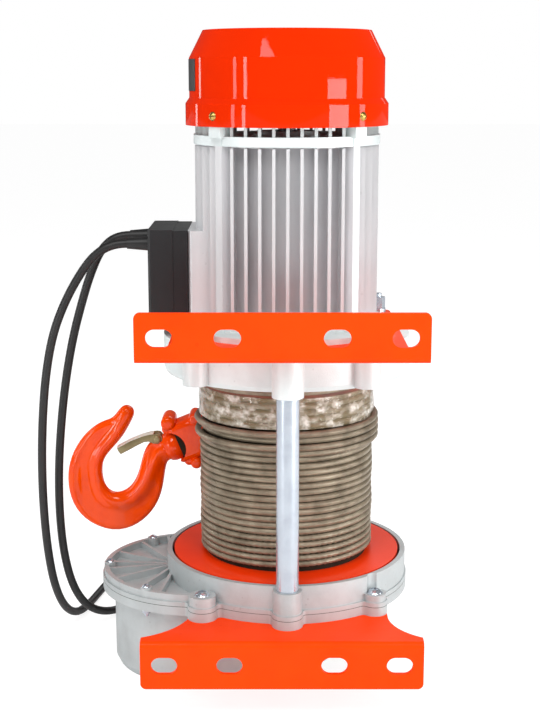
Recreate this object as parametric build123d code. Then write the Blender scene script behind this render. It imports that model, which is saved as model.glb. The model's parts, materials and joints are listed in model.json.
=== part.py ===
"""Electric rope hoist, standing on its gear case with the drum axis upright.

Millimetres. The origin is on the drum axis at the floor, +Z up along the axis, -Y towards the
mounting brackets' face, -X towards the terminal box and the hook.
"""
from build123d import *
import os
from math import acos, asin, cos, degrees, pi, radians, sin, sqrt, tan

# Clearances
slip = 0.3
bore_slip = 0.03
seat_gap = 0.02

# Brackets: pressed L plates with two pairs of slots each
bracket_lift = 30.0
leg_height = 42.3
plate_t = 4.0
bend_r = 5.0
bracket_face_y = -156.0
bracket_width = 243.0
bracket_mid_x = -5.0
bracket_corner_r = 5.0
slot_w = 15.0
slot_l = 22.5
slot_inner_gap = 90.0
slot_outer_gap = 202.0
slot_row_gap = 285.0
slot_height = 21.2
upper_plate_half = 103.0
upper_plate_back = 96.0
bracket_ring_inset = 4.2
lower_neck_left = 88.0
lower_neck_right = 90.0
lower_neck_y = -101.0
upper_neck_y = -128.0
neck_end_y = -60.0

# Drum and rope
rope_d = 6.0
rope_pitch = 6.2
rope_turns = 27
winding_r = 80.0
loose_turn_r = 85.0
core_r = 58.0
core_wall = 6.0
drum_flange_gap = 2.2
drum_flange_t = 5.0
drum_shaft_r = 17.5
drum_bore_r = 10.5
loose_turns = (18, 20)
film_t = 0.6

# Castings round the drum
ring_r = 113.2
ring_wall = 4.7
ring_height = 25.9
upper_ring_height = 33.8
upper_web_t = 8.9
floor_t = 6.0
flange_t = 8.0
flange_ledge = 1.3
gasket_t = 0.6
rod_lug_r = 13.75
rod_standoff = 3.45
rear_rod_angle = 62.0
rod_d = 20.0
stud_d = 12.0
rod_lug_top = 24.1
lower_lug_turns = ((-127.3, 11.3, 13.0), (-47.4, 3.6, 11.1))
upper_lug_turns = ((-132.9, 4.3, 11.5), (-54.0, 4.2, 11.5), (40.2, 4.6, 11.5), (139.8, 4.6, 11.5))
lug_screw_r = 4.0
spigot_r = 48.0
hub_wall = 6.0
lower_lug_tops = (12.8, 10.2)
lug_head_r = 7.0
lug_ledge = 1.0
upper_lug_drop = 36.7
upper_washer_t = 4.5
upper_nut_h = 11.0
upper_stud_tip = 19.0

# Gear case
case_wall = 3.0
case_bottom_t = 5.0
pan_r = 78.2
bulge_r = 87.8
bulge_rim_t = 4.5
bulge_height = 10.5
chamber_r = 80.5
chamber_lift = 22.0
foot_r = 50.0
foot_fillet = 6.0
rim_screw_angles = (125.0, 182.0, 239.0)
rim_boss_r = 5.5
rim_screw_r = 2.0
rim_nut_across = 7.0
web_t = 4.0
rib_h = 6.0
rib_t = 3.0
rib_focus_x = -104.0
rib_focus_y = -8.0
rib_angles = (100.0, 122.0, 150.0, 176.0, 192.0, 216.0, 245.0, 262.0)
counter_hub_wall = 4.5

# Gear train: motor pinion and countershaft gear, countershaft pinion and drum gear
fast_module = 2.0
pinion_teeth = 12
counter_gear_teeth = 73
slow_module = 2.5
counter_pinion_teeth = 11
drum_gear_teeth = 57
pressure_angle = 20.0
profile_shift = 0.4
backlash = 0.3
counter_gear_t = 12.0
drum_gear_t = 18.0
counter_gear_z = 20.0
drum_gear_z = 46.0
counter_direction = 184.0
counter_shaft_r = 10.0

# Motor
motor_r = 83.0
barrel_r = 67.0
barrel_wall = 5.0
fin_pitch = 12.0
fin_t = 2.8
fins_each_side = 9
corner_rib_w = 8.0
corner_rib_r = 84.5
front_shield_t = 15.1
shield_flange_r = 102.0
shield_flange_t = 5.0
motor_length = 152.5
motor_shaft_r = 8.0
motor_journal_r = 8.5
stator_length = 90.0
rotor_r = 36.5
air_gap = 0.6
end_band_t = 8.3
end_rib_h = 8.2
end_band_r = 84.0
rotor_shaft_r = 11.0
boss_in = 76.0

# Fan cover
cover_rim_r = 91.0
cover_r = 87.5
cover_top_r = 75.2
cover_wall = 1.5
cover_rim_h = 19.0
cover_step_h = 5.0
cover_body_h = 34.5
cover_cone_h = 24.0
cover_screw_h = 9.0
cover_screw_d = 8.0
intake_slots = 16
intake_r_in = 30.0
intake_r_out = 62.0
intake_w = 5.0
fan_r = 70.0
fan_blades = 8
cover_thread_r = 2.0

# Terminal box on its cast pad
pad_out = 88.5
pad_y0 = -38.0
pad_y1 = 45.0
pad_top = 411.0
box_out = 124.0
box_split = 101.5
box_y0 = -40.0
box_y1 = 44.0
box_z0 = 330.0
box_z1 = 411.5
box_wall = 3.0
cable_d = 8.0
gland_length = 20.0
cable_exits = ((-20.0, 398.0), (10.0, 402.0))

# Plug and handset
plug_z = 14.0
plug_w = 30.0
plug_length = 36.0
handset_x0 = -78.0
handset_y = 108.0
handset_length = 120.0
handset_w = 46.0
handset_t = 32.0
handset_wall = 2.5
key_r = 9.0
key_travel = 3.0
key_proud = 3.5
stop_head_gap = 0.8
key_places = (-52.0, -20.0, 14.0)

# Hook, its swivel block and the rope's end
hook_plane_y = 88.3
bowl_x = -168.0
bowl_z = 159.0
shank_tilt = 22.0
bowl_in_r = 21.0
bowl_out_r = 48.0
bowl_shift_u = -9.5
bowl_shift_v = -12.0
hook_half_t = 12.5
collar_r = 16.0
collar_u0 = 54.0
collar_u1 = 64.0
shank_r = 9.0
block_u0 = 66.0
block_u1 = 100.0
block_half_v = 24.0
block_half_t = 17.0
latch_u = 48.0
latch_v = 13.0
latch_pin_r = 2.5
tip_sections = (
    (27.0, 49.5, 128.0, 8.0, 7.8),
    (16.5, 42.5, 112.0, 9.8, 8.8),
    (4.0, 40.0, 107.0, 13.0, 10.0),
    (-11.0, 33.0, 124.0, 14.2, 11.2),
)
bowl_angles = (155.0, 190.0, 230.0, 270.0, 310.0)
latch_land = ((56, 7.5), (45, 7.5), (37, 3.5), (30, -3.5), (22, -12), (14, -12), (14, 30), (56, 30))
latch_land_half = 5.7
neck_sections = (
    (37.5, -6.5, 298.0, 12.8, 11.5),
    (50.0, 0.0, 272.0, 12.5, 11.5),
)
nut_r = 14.0
block_bolt_r = 3.0
latch_plate_t = 1.5
latch_end_u = 8.5
latch_end_v = 22.6
latch_half_w = 7.5

# Bearings
low_bearing_outer = 31.0
low_bearing_w = 14.0
counter_journal_r = 7.5
counter_bearing_outer = 17.5
counter_bearing_w = 11.0
end_bearing_bore = 6.0
end_bearing_outer = 14.0
end_bearing_w = 8.0
motor_bearing_outer = 20.0
motor_bearing_w = 12.0

# Coils of the leads
coil_in_r = 36.0
mains_coil_x = -45.0
control_coil_x = 62.0
coil_y = 192.0

# Worked out from the above
plate_top = bracket_lift + leg_height
case_top = plate_top + flange_t
housing_z0 = case_top + gasket_t
ring_top = housing_z0 + ring_height
upper_z1 = bracket_lift + slot_row_gap
upper_z0 = upper_z1 - upper_ring_height
upper_plate_top = upper_z1 + plate_t
shield_top = upper_plate_top + front_shield_t
motor_top = shield_top + motor_length
band_top = motor_top + end_band_t
cover_z0 = band_top + end_rib_h
cover_z1 = cover_z0 + cover_rim_h
cover_z2 = cover_z1 + cover_step_h
cover_z3 = cover_z2 + cover_body_h
cover_z4 = cover_z3 + cover_cone_h
drum_length = rope_turns * rope_pitch + rope_d
drum_z0 = ring_top
drum_z1 = ring_top + drum_length
bracket_ring_r = ring_r - bracket_ring_inset
drum_flange_r = ring_r - ring_wall - drum_flange_gap
flange_r = ring_r + flange_ledge
rod_circle_r = ring_r + rod_standoff
counter_distance = fast_module * (pinion_teeth + counter_gear_teeth) / 2
counter_x = counter_distance * cos(radians(counter_direction))
counter_y = counter_distance * sin(radians(counter_direction))
rod_x = rod_circle_r * cos(radians(rear_rod_angle))
rod_y = rod_circle_r * sin(radians(rear_rod_angle))
rod_places = ((0.0, -rod_circle_r), (rod_x, rod_y), (-rod_x, rod_y))
pan_in_r = pan_r - case_wall
chamber_in_r = chamber_r - case_wall
u_dir = (cos(radians(shank_tilt)), sin(radians(shank_tilt)))
low_bearing_bore = drum_shaft_r
low_bearing_z = housing_z0 - 4.0
high_bearing_z = upper_z1 - low_bearing_w - 4.0
counter_low_z = case_bottom_t + 1.0
counter_high_z = housing_z0 - 7.0
end_bearing_z = case_bottom_t + 1.0
film_low = drum_z0 + 21.5 * rope_pitch
film_high = drum_z1 - rope_d / 2 - 1
counter_shaft_top = counter_high_z + counter_bearing_w
front_bearing_z = upper_plate_top + 1.5
rear_bearing_z = band_top - motor_bearing_w - 1.0
stator_z0 = shield_top + 28.0
stator_r = barrel_r - barrel_wall - bore_slip
stator_in_r = rotor_r + air_gap
block_bolts = ((block_u0 + 8.0, block_half_v - 6.0), (block_u0 + 8.0, 6.0 - block_half_v),
               (block_u1 - 8.0, block_half_v - 8.0), (block_u1 - 8.0, 8.0 - block_half_v))
coil_out_r = coil_in_r + 2 * cable_d
coil_height = 2 * cable_d
floor_z = cable_d / 2 + 0.2

# Routes of the leads, from gland to coil and from coil to plug or handset
mains_route = (
    (-box_out - gland_length, 10, 402), (-156, 10, 402), (-171, 11, 390), (-182, 12, 366), (-191, 13, 338),
    (-199, 14, 306), (-204, 15, 266), (-207, 16, 222), (-208, 18, 176), (-208, 21, 132), (-207, 26, 90),
    (-203, 35, 52), (-195, 50, 24), (-182, 72, 8), (-163, 100, floor_z), (-138, 126, floor_z + 0.1),
    (-108, 142, floor_z), (-76, 150, floor_z))
control_route = (
    (-box_out - gland_length, -20, 398), (-157, -20, 398), (-175, -20.5, 387), (-190, -20, 366),
    (-203, -20, 342), (-214, -19, 314), (-222, -16, 276), (-227, -12, 232), (-230, -6, 186), (-231, 2, 140),
    (-230, 12, 96), (-227, 26, 56), (-221, 46, 25), (-213, 72, 8), (-205, 104, floor_z),
    (-197, 146, floor_z + 0.1), (-188, 190, floor_z), (-170, 236, floor_z + 0.1), (-135, 276, floor_z),
    (-88, 296, floor_z + 0.1), (-36, 294, floor_z), (8, 274, floor_z + 0.1), (38.9, 239.9, floor_z))
mains_end_route = ((-59, 236, 8), (-70, 240, 10), (-82, 242, plug_z), (-95, 242, plug_z))
control_end_route = (
    (107, 178, floor_z), (105, 156, 5), (96, 135, 8), (82, handset_y, handset_t / 2),
    (64, handset_y, handset_t / 2))

os.makedirs("parts", exist_ok=True)


def lug_places(turns):
    """Centre and radius of each lug, from its angle and how far it stands off the ring."""
    places = []
    for angle, standoff, r in turns:
        reach = ring_r + standoff
        places.append((reach * cos(radians(angle)), reach * sin(radians(angle)), r))
    return places


lower_lugs = lug_places(lower_lug_turns)
upper_lugs = lug_places(upper_lug_turns)


def cyl(r, z0, z1, x=0.0, y=0.0):
    """Upright cylinder from z0 to z1."""
    return Pos(x, y, z0) * Cylinder(r, z1 - z0, align=(Align.CENTER, Align.CENTER, Align.MIN))


def tube(r_out, r_in, z0, z1, x=0.0, y=0.0):
    """Upright tube from z0 to z1."""
    return cyl(r_out, z0, z1, x, y) - cyl(r_in, z0, z1, x, y)


def block(x0, x1, y0, y1, z0, z1):
    """Box between two corners."""
    middle = Pos((x0 + x1) / 2, (y0 + y1) / 2, (z0 + z1) / 2)
    return middle * Box(x1 - x0, y1 - y0, z1 - z0)


def turned(points, x=0.0, y=0.0):
    """Body of revolution about an upright axis, from (radius, height) points."""
    outline = Plane.XZ * Polyline(*points, close=True)
    return Pos(x, y, 0) * revolve(make_face(outline), Axis.Z)


def plate(face, z0, z1):
    """Flat outline raised from z0 to z1."""
    return Pos(0, 0, z0) * extrude(face, z1 - z0)


def spun(piece, count, start=0.0):
    """Copies of a piece at equal angles round the drum axis."""
    return [Rot(0, 0, start + 360.0 * i / count) * piece for i in range(count)]


def joined(pieces):
    """One solid from pieces that overlap."""
    whole = pieces[0]
    return whole + list(pieces[1:])


def cut(piece, tools):
    """The piece with each tool taken out of it."""
    return piece - list(tools)


def save(name, *solids):
    """Write the separate solids of one node."""
    flat = []
    for item in solids:
        flat.extend(item.solids())
    export_step(Compound(children=flat), f"parts/{name}.step")


def bar(start, end, r):
    """Round bar between two points."""
    line = Vector(*end) - Vector(*start)
    plane = Plane(origin=start, z_dir=line)
    return plane * Cylinder(r, line.length, align=(Align.CENTER, Align.CENTER, Align.MIN))


def hex_prism(across, z0, z1, x=0.0, y=0.0):
    """Hexagon head or nut."""
    return Pos(x, y, z0) * extrude(RegularPolygon(across / 2, 6, major_radius=False), z1 - z0)


def hex_nut(x, y, z0, across, height, bore_r):
    """Hexagon nut on an upright stud."""
    return hex_prism(across, z0, z0 + height, x, y) - cyl(bore_r, z0, z0 + height, x, y)


def pan_screw(x, y, seat, head_r, head_h, shank_r, shank_end):
    """Domed cross-head screw pointing down, with its cross recess."""
    rise = head_h
    sphere_r = (head_r ** 2 + rise ** 2) / (2 * rise)
    dome = Pos(x, y, seat + rise - sphere_r) * Sphere(sphere_r)
    head = dome & cyl(head_r, seat, seat + 2 * rise, x, y)
    recess_w = head_r * 0.28
    recess = Box(head_r * 1.1, recess_w, rise) + Box(recess_w, head_r * 1.1, rise)
    head = head - Pos(x, y, seat + rise) * recess
    return head + cyl(shank_r, shank_end, seat, x, y)


def bearing(bore_r, outer_r, z0, width, x=0.0, y=0.0):
    """Ball bearing as two races with a ring of balls between them."""
    race = (outer_r - bore_r) * 0.28
    ball_r = (outer_r - bore_r) * 0.25
    middle_r = (outer_r + bore_r) / 2
    count = int(2 * pi * middle_r / (2.6 * ball_r))
    ball = Pos(middle_r, 0, z0 + width / 2) * Sphere(ball_r)
    path = Pos(x, y, z0 + width / 2) * Torus(middle_r, ball_r + seat_gap)
    races = [
        tube(outer_r, outer_r - race, z0, z0 + width, x, y) - path,
        tube(bore_r + race, bore_r + bore_slip, z0, z0 + width, x, y) - path,
    ]
    balls = [Pos(x, y, 0) * Rot(0, 0, 360.0 * i / count) * ball for i in range(count)]
    return races + balls


# Gears

def involute(angle):
    """Involute function of an angle in radians."""
    return tan(angle) - angle


def gear_face(teeth, module, shift, mesh_backlash):
    """Outline of a spur gear with involute flanks, one tooth centred on +X."""
    pitch_r = module * teeth / 2
    base_r = pitch_r * cos(radians(pressure_angle))
    tip_r = pitch_r + module * (1 + shift)
    root_r = pitch_r - module * (1.25 - shift)
    flank_start = max(base_r, root_r)
    alpha = radians(pressure_angle)
    half_at_pitch = (pi / 2 + 2 * shift * tan(alpha)) / teeth - mesh_backlash / (4 * pitch_r)
    flank_radii = (flank_start, (flank_start + tip_r) / 2, tip_r)
    points = []
    for tooth in range(teeth):
        middle = 2 * pi * tooth / teeth
        halves = [half_at_pitch + involute(alpha) - involute(acos(base_r / r)) for r in flank_radii]
        radii = list(flank_radii)
        if flank_start > root_r:
            halves.insert(0, halves[0])
            radii.insert(0, root_r)
        left = [(r, middle - half) for r, half in zip(radii, halves)]
        right = [(r, middle + half) for r, half in zip(reversed(radii), reversed(halves))]
        points.extend((r * cos(a), r * sin(a)) for r, a in left + right)
    return make_face(Polyline(*points, close=True))


def gear_tip_r(teeth, module, shift):
    """Tip radius of a gear."""
    return module * (teeth / 2 + 1 + shift)


def gear_turn(teeth, direction, heavy):
    """Angle that sets a gear's tooth or gap on the line to its mate, in degrees."""
    half_step = 180.0 / teeth
    return direction if heavy else direction + half_step


# Brackets

def l_plate(bottom_z, bend_at_top, back_y):
    """L profile bent about X, long enough in Y for the flat leg."""
    z0 = bottom_z
    z1 = bottom_z + leg_height
    half = bracket_width / 2
    x0 = bracket_mid_x - half
    x1 = bracket_mid_x + half
    face_y = bracket_face_y
    if bend_at_top:
        solid = block(x0, x1, face_y, back_y, z0, z1)
        hollow = block(x0, x1, face_y + plate_t, back_y, z0, z1 - plate_t)
        edge_z = z1
        corner_z = z0
    else:
        solid = block(x0, x1, face_y, back_y, z0, z1)
        hollow = block(x0, x1, face_y + plate_t, back_y, z0 + plate_t, z1)
        edge_z = z0
        corner_z = z1
    shape = solid - hollow
    bend = [e for e in shape.edges().filter_by(Axis.X) if abs(e.center().Y - face_y) < 0.1]
    bend = [e for e in bend if abs(e.center().Z - edge_z) < 0.1]
    shape = fillet(bend, bend_r)
    inner_z = edge_z - plate_t if bend_at_top else edge_z + plate_t
    inner = [e for e in shape.edges().filter_by(Axis.X) if abs(e.center().Y - face_y - plate_t) < 0.1]
    inner = [e for e in inner if abs(e.center().Z - inner_z) < 0.1]
    shape = fillet(inner, bend_r - plate_t)
    corners = [e for e in shape.edges().filter_by(Axis.Y) if abs(e.center().Z - corner_z) < 0.1]
    corners = [e for e in corners if e.length < plate_t + 0.1]
    return fillet(corners, bracket_corner_r)


def bracket_slots(z):
    """The four slots of one leg."""
    tools = []
    for gap in (slot_inner_gap, slot_outer_gap):
        for side in (-1, 1):
            x = bracket_mid_x + side * gap / 2
            slot = extrude(Plane.XZ * SlotOverall(slot_l, slot_w), 4 * plate_t, both=True)
            tools.append(Pos(x, bracket_face_y, z) * slot)
    return tools


def neck_outline(neck_half_left, neck_half_right, curve_y, end_y):
    """Flat leg outline in front: full width at the bend, drawn in by hollow curves to a neck."""
    x0 = bracket_mid_x - bracket_width / 2
    x1 = bracket_mid_x + bracket_width / 2
    bend_y = bracket_face_y + 3 * plate_t
    left_mid = ((x0 - neck_half_left) / 2 + 4, (bend_y + curve_y) / 2 - 5)
    right_mid = ((x1 + neck_half_right) / 2 - 4, (bend_y + curve_y) / 2 - 5)
    edge = [
        Line((x0, bracket_face_y - 1), (x1, bracket_face_y - 1)),
        Line((x1, bracket_face_y - 1), (x1, bend_y)),
        ThreePointArc((x1, bend_y), right_mid, (neck_half_right, curve_y)),
        Line((neck_half_right, curve_y), (neck_half_right, end_y)),
        Line((neck_half_right, end_y), (-neck_half_left, end_y)),
        Line((-neck_half_left, end_y), (-neck_half_left, curve_y)),
        ThreePointArc((-neck_half_left, curve_y), left_mid, (x0, bend_y)),
        Line((x0, bend_y), (x0, bracket_face_y - 1)),
    ]
    return make_face(edge)


def lower_bracket():
    """Bracket under the gear case flange, its flat leg a ring round the gear chamber."""
    outline = neck_outline(lower_neck_left, lower_neck_right, lower_neck_y, neck_end_y) + Circle(bracket_ring_r)
    for x, y in rod_places:
        outline = outline + Pos(x, y) * Circle(rod_lug_r)
    outline = outline - Circle(chamber_r + slip)
    outline = outline - Pos(counter_x, counter_y) * Circle(pan_r + slip)
    shape = l_plate(bracket_lift, True, rod_y + rod_lug_r + 1)
    shape = shape & plate(outline, bracket_lift, plate_top)
    shape = cut(shape, bracket_slots(bracket_lift + slot_height))
    holes = [cyl(stud_d / 2 + bore_slip, bracket_lift, plate_top + 1, x, y) for x, y in rod_places]
    holes += [cyl(lug_screw_r + bore_slip, bracket_lift, plate_top + 1, x, y) for x, y, r in lower_lugs]
    return cut(shape, holes)


def upper_plate_face():
    """Flat leg outline of the upper bracket: a wide table under the motor."""
    neck = neck_outline(upper_plate_half, upper_plate_half, upper_neck_y, neck_end_y)
    depth = upper_plate_back + 100.0
    table = Pos(0, upper_plate_back - depth / 2) * RectangleRounded(2 * upper_plate_half, depth, 12.0)
    outline = neck + table
    for x, y in rod_places:
        outline = outline + Pos(x, y) * Circle(rod_lug_r)
    return outline - Circle(spigot_r + slip)


def upper_bracket():
    """Bracket between the drum housing and the motor."""
    shape = l_plate(upper_z1, False, rod_y + rod_lug_r + 1)
    shape = shape & plate(upper_plate_face(), upper_z1, upper_z1 + leg_height)
    shape = cut(shape, bracket_slots(upper_z1 + slot_height))
    holes = [cyl(stud_d / 2 + bore_slip, upper_z1 - 1, upper_plate_top, x, y) for x, y in rod_places]
    holes += [cyl(lug_screw_r + bore_slip, upper_z1 - 1, upper_plate_top, x, y) for x, y, r in upper_lugs]
    return cut(shape, holes)


# Castings


def flange_face():
    """Lobed outline of the gear case flange and of the gearbox housing's foot."""
    face = Circle(flange_r) + Pos(counter_x, counter_y) * Circle(bulge_r + 1.5)
    for x, y in rod_places:
        face = face + Pos(x, y) * Circle(rod_lug_r)
    for x, y, r in lower_lugs:
        face = face + Pos(x, y) * Circle(r)
    return fillet(face.vertices(), 4.0)


def through_holes(z0, z1, lugs):
    """Rod stud holes and lug screw holes."""
    holes = [cyl(stud_d / 2 + bore_slip, z0, z1, x, y) for x, y in rod_places]
    return holes + [cyl(lug_screw_r + bore_slip, z0, z1, x, y) for x, y, r in lugs]


def rim_places():
    """Centres of the small screws round the bulge."""
    r = pan_r + rim_nut_across * 0.62
    places = []
    for angle in rim_screw_angles:
        places.append((counter_x + r * cos(radians(angle)), counter_y + r * sin(radians(angle))))
    return places


def gear_case():
    """Deep pan, shallower gear chamber and foot under one lobed flange, hollow inside."""
    pan = turned([(0, 0), (pan_r - 3, 0), (pan_r, foot_fillet), (pan_r, plate_top + 1), (0, plate_top + 1)],
                 counter_x, counter_y)
    chamber = cyl(chamber_r, chamber_lift, plate_top + 1)
    foot = turned([(0, 0), (foot_r - 4, 0), (foot_r, 4), (foot_r, chamber_lift + 1), (0, chamber_lift + 1)])
    shape = pan + chamber + foot + plate(flange_face(), plate_top, case_top)
    hollows = [
        cyl(pan_in_r, case_bottom_t, case_top + 1, counter_x, counter_y),
        cyl(chamber_in_r, chamber_lift + case_bottom_t, case_top + 1),
        cyl(gear_tip_r(pinion_teeth, fast_module, profile_shift) + 2, counter_gear_z - 3, chamber_lift + 6),
    ]
    shape = cut(shape, hollows)
    seat_top = counter_low_z + counter_bearing_w
    boss = tube(counter_bearing_outer + hub_wall, counter_bearing_outer + bore_slip,
                case_bottom_t - 1, seat_top, counter_x, counter_y)
    boss = boss + cyl(counter_bearing_outer + hub_wall, case_bottom_t - 1, counter_low_z, counter_x, counter_y)
    shape = shape + boss
    shape = shape - cyl(end_bearing_outer + bore_slip, end_bearing_z, counter_gear_z)
    shape = cut(shape, through_holes(plate_top - 1, case_top + 1, lower_lugs))
    screws = [cyl(rim_screw_r + bore_slip, plate_top - 1, case_top + 1, x, y) for x, y in rim_places()]
    return cut(shape, screws)


def gasket():
    """Flat seal between the gear case and the gearbox housing."""
    shape = plate(flange_face(), case_top, housing_z0)
    openings = [
        cyl(pan_in_r, case_top - 1, housing_z0 + 1, counter_x, counter_y),
        cyl(chamber_in_r, case_top - 1, housing_z0 + 1),
    ]
    shape = cut(shape, openings)
    shape = cut(shape, through_holes(case_top - 1, housing_z0 + 1, lower_lugs))
    screws = [cyl(rim_screw_r + bore_slip, case_top - 1, housing_z0 + 1, x, y) for x, y in rim_places()]
    return cut(shape, screws)


def bulge_ribs():
    """Ribs on the bulge's sunk web, from the ring wall out to the rim."""
    ribs = []
    z0 = housing_z0 + web_t - 0.5
    z1 = housing_z0 + web_t + rib_h
    for angle in rib_angles:
        rib = block(0, 2 * bulge_r, -rib_t / 2, rib_t / 2, z0, z1)
        ribs.append(Pos(rib_focus_x, rib_focus_y, 0) * Rot(0, 0, angle) * rib)
    rim = cyl(bulge_r - 1, z0, z1, counter_x, counter_y)
    return [(rib & rim) - cyl(ring_r - 1, z0 - 1, z1 + 1) for rib in ribs]


def gearbox_housing():
    """Cast ring round the drum's end with the ribbed cover of the countershaft beside it."""
    z0 = housing_z0
    bulge = cyl(bulge_r, z0, z0 + bulge_height, counter_x, counter_y)
    bulge = bulge - cyl(bulge_r - bulge_rim_t, z0 + web_t, z0 + bulge_height + 1, counter_x, counter_y)
    foot = plate(flange_face(), z0, z0 + web_t)
    shape = bulge + foot + cyl(ring_r, z0, ring_top)
    for rib in bulge_ribs():
        shape = shape + rib
    for x, y in rim_places():
        shape = shape + cyl(rim_boss_r, z0, z0 + bulge_height + 1.5, x, y)
    for (x, y, r), top in zip(lower_lugs, lower_lug_tops):
        shape = shape + cyl(r - lug_ledge, z0, z0 + top, x, y)
    for x, y in rod_places:
        shape = shape + cyl(rod_lug_r - lug_ledge, z0, z0 + rod_lug_top, x, y)
    well = cyl(ring_r - ring_wall, z0 + floor_t, ring_top + 1)
    shape = shape - well
    hub = cyl(low_bearing_outer + hub_wall, low_bearing_z, low_bearing_z + low_bearing_w + 2)
    counter_hub = cyl(counter_bearing_outer + counter_hub_wall, counter_high_z,
                      counter_high_z + counter_bearing_w + 3, counter_x, counter_y)
    shape = shape + hub + counter_hub
    bores = [
        cyl(low_bearing_outer + bore_slip, low_bearing_z - 1, low_bearing_z + low_bearing_w),
        cyl(drum_shaft_r + 3, low_bearing_z, ring_top),
        cyl(counter_bearing_outer + bore_slip, counter_high_z - 1,
            counter_high_z + counter_bearing_w, counter_x, counter_y),
    ]
    shape = cut(shape, bores)
    shape = cut(shape, through_holes(z0 - 1, ring_top + 1, lower_lugs))
    pockets = [cyl(rod_d / 2 + slip, z0 + rod_lug_top, ring_top + 1, x, y) for x, y in rod_places]
    pockets += [cyl(lug_head_r + slip, z0 + top, ring_top + 1, x, y)
                for (x, y, r), top in zip(lower_lugs, lower_lug_tops)]
    screws = [cyl(rim_screw_r + bore_slip, z0 - 1, ring_top, x, y) for x, y in rim_places()]
    return cut(shape, pockets + screws)


def motor_side_drum_housing():
    """Cast ring round the drum's upper end, with lugs for the rods and the bracket."""
    body = turned([
        (0, upper_z1 - upper_web_t), (ring_r - ring_wall, upper_z1 - upper_web_t),
        (ring_r - ring_wall, upper_z0), (ring_r - 1.5, upper_z0), (ring_r, upper_z0 + 4),
        (ring_r, upper_z1), (0, upper_z1)])
    lugs = []
    for x, y in rod_places:
        lugs.append(cyl(rod_lug_r, upper_z1 - upper_lug_drop, upper_z1, x, y))
    for x, y, r in upper_lugs:
        lugs.append(cyl(r, upper_z1 - upper_lug_drop + 4, upper_z1, x, y))
    well = cyl(ring_r - ring_wall, upper_z0 - 1, upper_z1 - upper_web_t)
    lugs = [lug - well for lug in lugs]
    hub = cyl(low_bearing_outer + hub_wall, high_bearing_z - 2, upper_z1)
    shape = joined([body] + lugs + [hub])
    bores = [
        cyl(low_bearing_outer + bore_slip, high_bearing_z, upper_z1 + 1),
        cyl(drum_shaft_r + 3, high_bearing_z - 3, upper_z1),
    ]
    pocket_z1 = upper_z1 - upper_lug_drop
    pockets = [cyl(rod_d / 2 + slip, pocket_z1 - upper_ring_height, pocket_z1, x, y) for x, y in rod_places]
    shape = cut(shape, bores + pockets)
    return cut(shape, through_holes(pocket_z1 - 1, upper_z1 + 1, upper_lugs))


# Drum, shafts and gears

def drum():
    """Rope drum: tube between two end flanges, with hubs on the drum shaft."""
    low = drum_z0 - drum_flange_t
    high = drum_z1 + drum_flange_t
    hub_r = drum_shaft_r + 10
    inner = core_r - core_wall
    body = turned([
        (drum_shaft_r + bore_slip, low - 3), (hub_r, low - 3), (hub_r, low),
        (drum_flange_r, low), (drum_flange_r, drum_z0), (core_r, drum_z0), (core_r, drum_z1),
        (drum_flange_r, drum_z1), (drum_flange_r, high), (hub_r, high), (hub_r, high + 3),
        (drum_shaft_r + bore_slip, high + 3), (drum_shaft_r + bore_slip, drum_z1 - 12),
        (hub_r, drum_z1 - 12), (hub_r, drum_z1), (inner, drum_z1), (inner, drum_z0), (hub_r, drum_z0),
        (hub_r, drum_z0 + 12), (drum_shaft_r + bore_slip, drum_z0 + 12)])
    return body


def drum_shaft():
    """Hollow shaft that carries the drum and its gear and lets the motor shaft through."""
    z0 = drum_gear_z - 4
    z1 = upper_z1 - 2
    return tube(drum_shaft_r, drum_bore_r, z0, z1)


def rope_winding():
    """Outer layer of the rope as grooves round a closed sleeve, with two loose turns."""
    points = [(core_r + seat_gap, drum_z0 + seat_gap), (winding_r - rope_d / 2, drum_z0 + seat_gap)]
    for turn in range(rope_turns):
        z = drum_z0 + rope_d / 2 + turn * rope_pitch
        top = loose_turn_r if turn in loose_turns else winding_r
        points.append((top, z - rope_d * 0.2))
        points.append((top, z + rope_d * 0.2))
        points.append((winding_r - rope_d * 0.35, z + rope_pitch / 2))
    points.append((winding_r - rope_d / 2, drum_z1 - rope_d / 2))
    points.append((core_r + seat_gap, drum_z1 - rope_d / 2))
    return turned(points)


def film_wrap():
    """Clear film round the top turns of the rope."""
    r = winding_r + seat_gap
    return tube(r + film_t, r, film_low, film_high - 8)


def paper_band():
    """Paper tape over the very top of the winding."""
    r = winding_r + seat_gap
    return tube(r + film_t, r, film_high - 8, film_high)


def countershaft():
    """Countershaft with its pinion cut in one piece."""
    z_pinion = drum_gear_z - 2
    shaft = turned([
        (0, counter_low_z), (counter_journal_r, counter_low_z),
        (counter_journal_r, counter_low_z + counter_bearing_w),
        (counter_shaft_r, counter_low_z + counter_bearing_w), (counter_shaft_r, counter_high_z),
        (counter_journal_r, counter_high_z), (counter_journal_r, counter_shaft_top),
        (0, counter_shaft_top)], counter_x, counter_y)
    face = gear_face(counter_pinion_teeth, slow_module, profile_shift, backlash)
    turn = gear_turn(counter_pinion_teeth, counter_direction + 180.0, False)
    pinion = Pos(counter_x, counter_y, 0) * Rot(0, 0, turn) * plate(face, z_pinion, z_pinion + drum_gear_t + 4)
    return shaft + pinion


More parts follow.
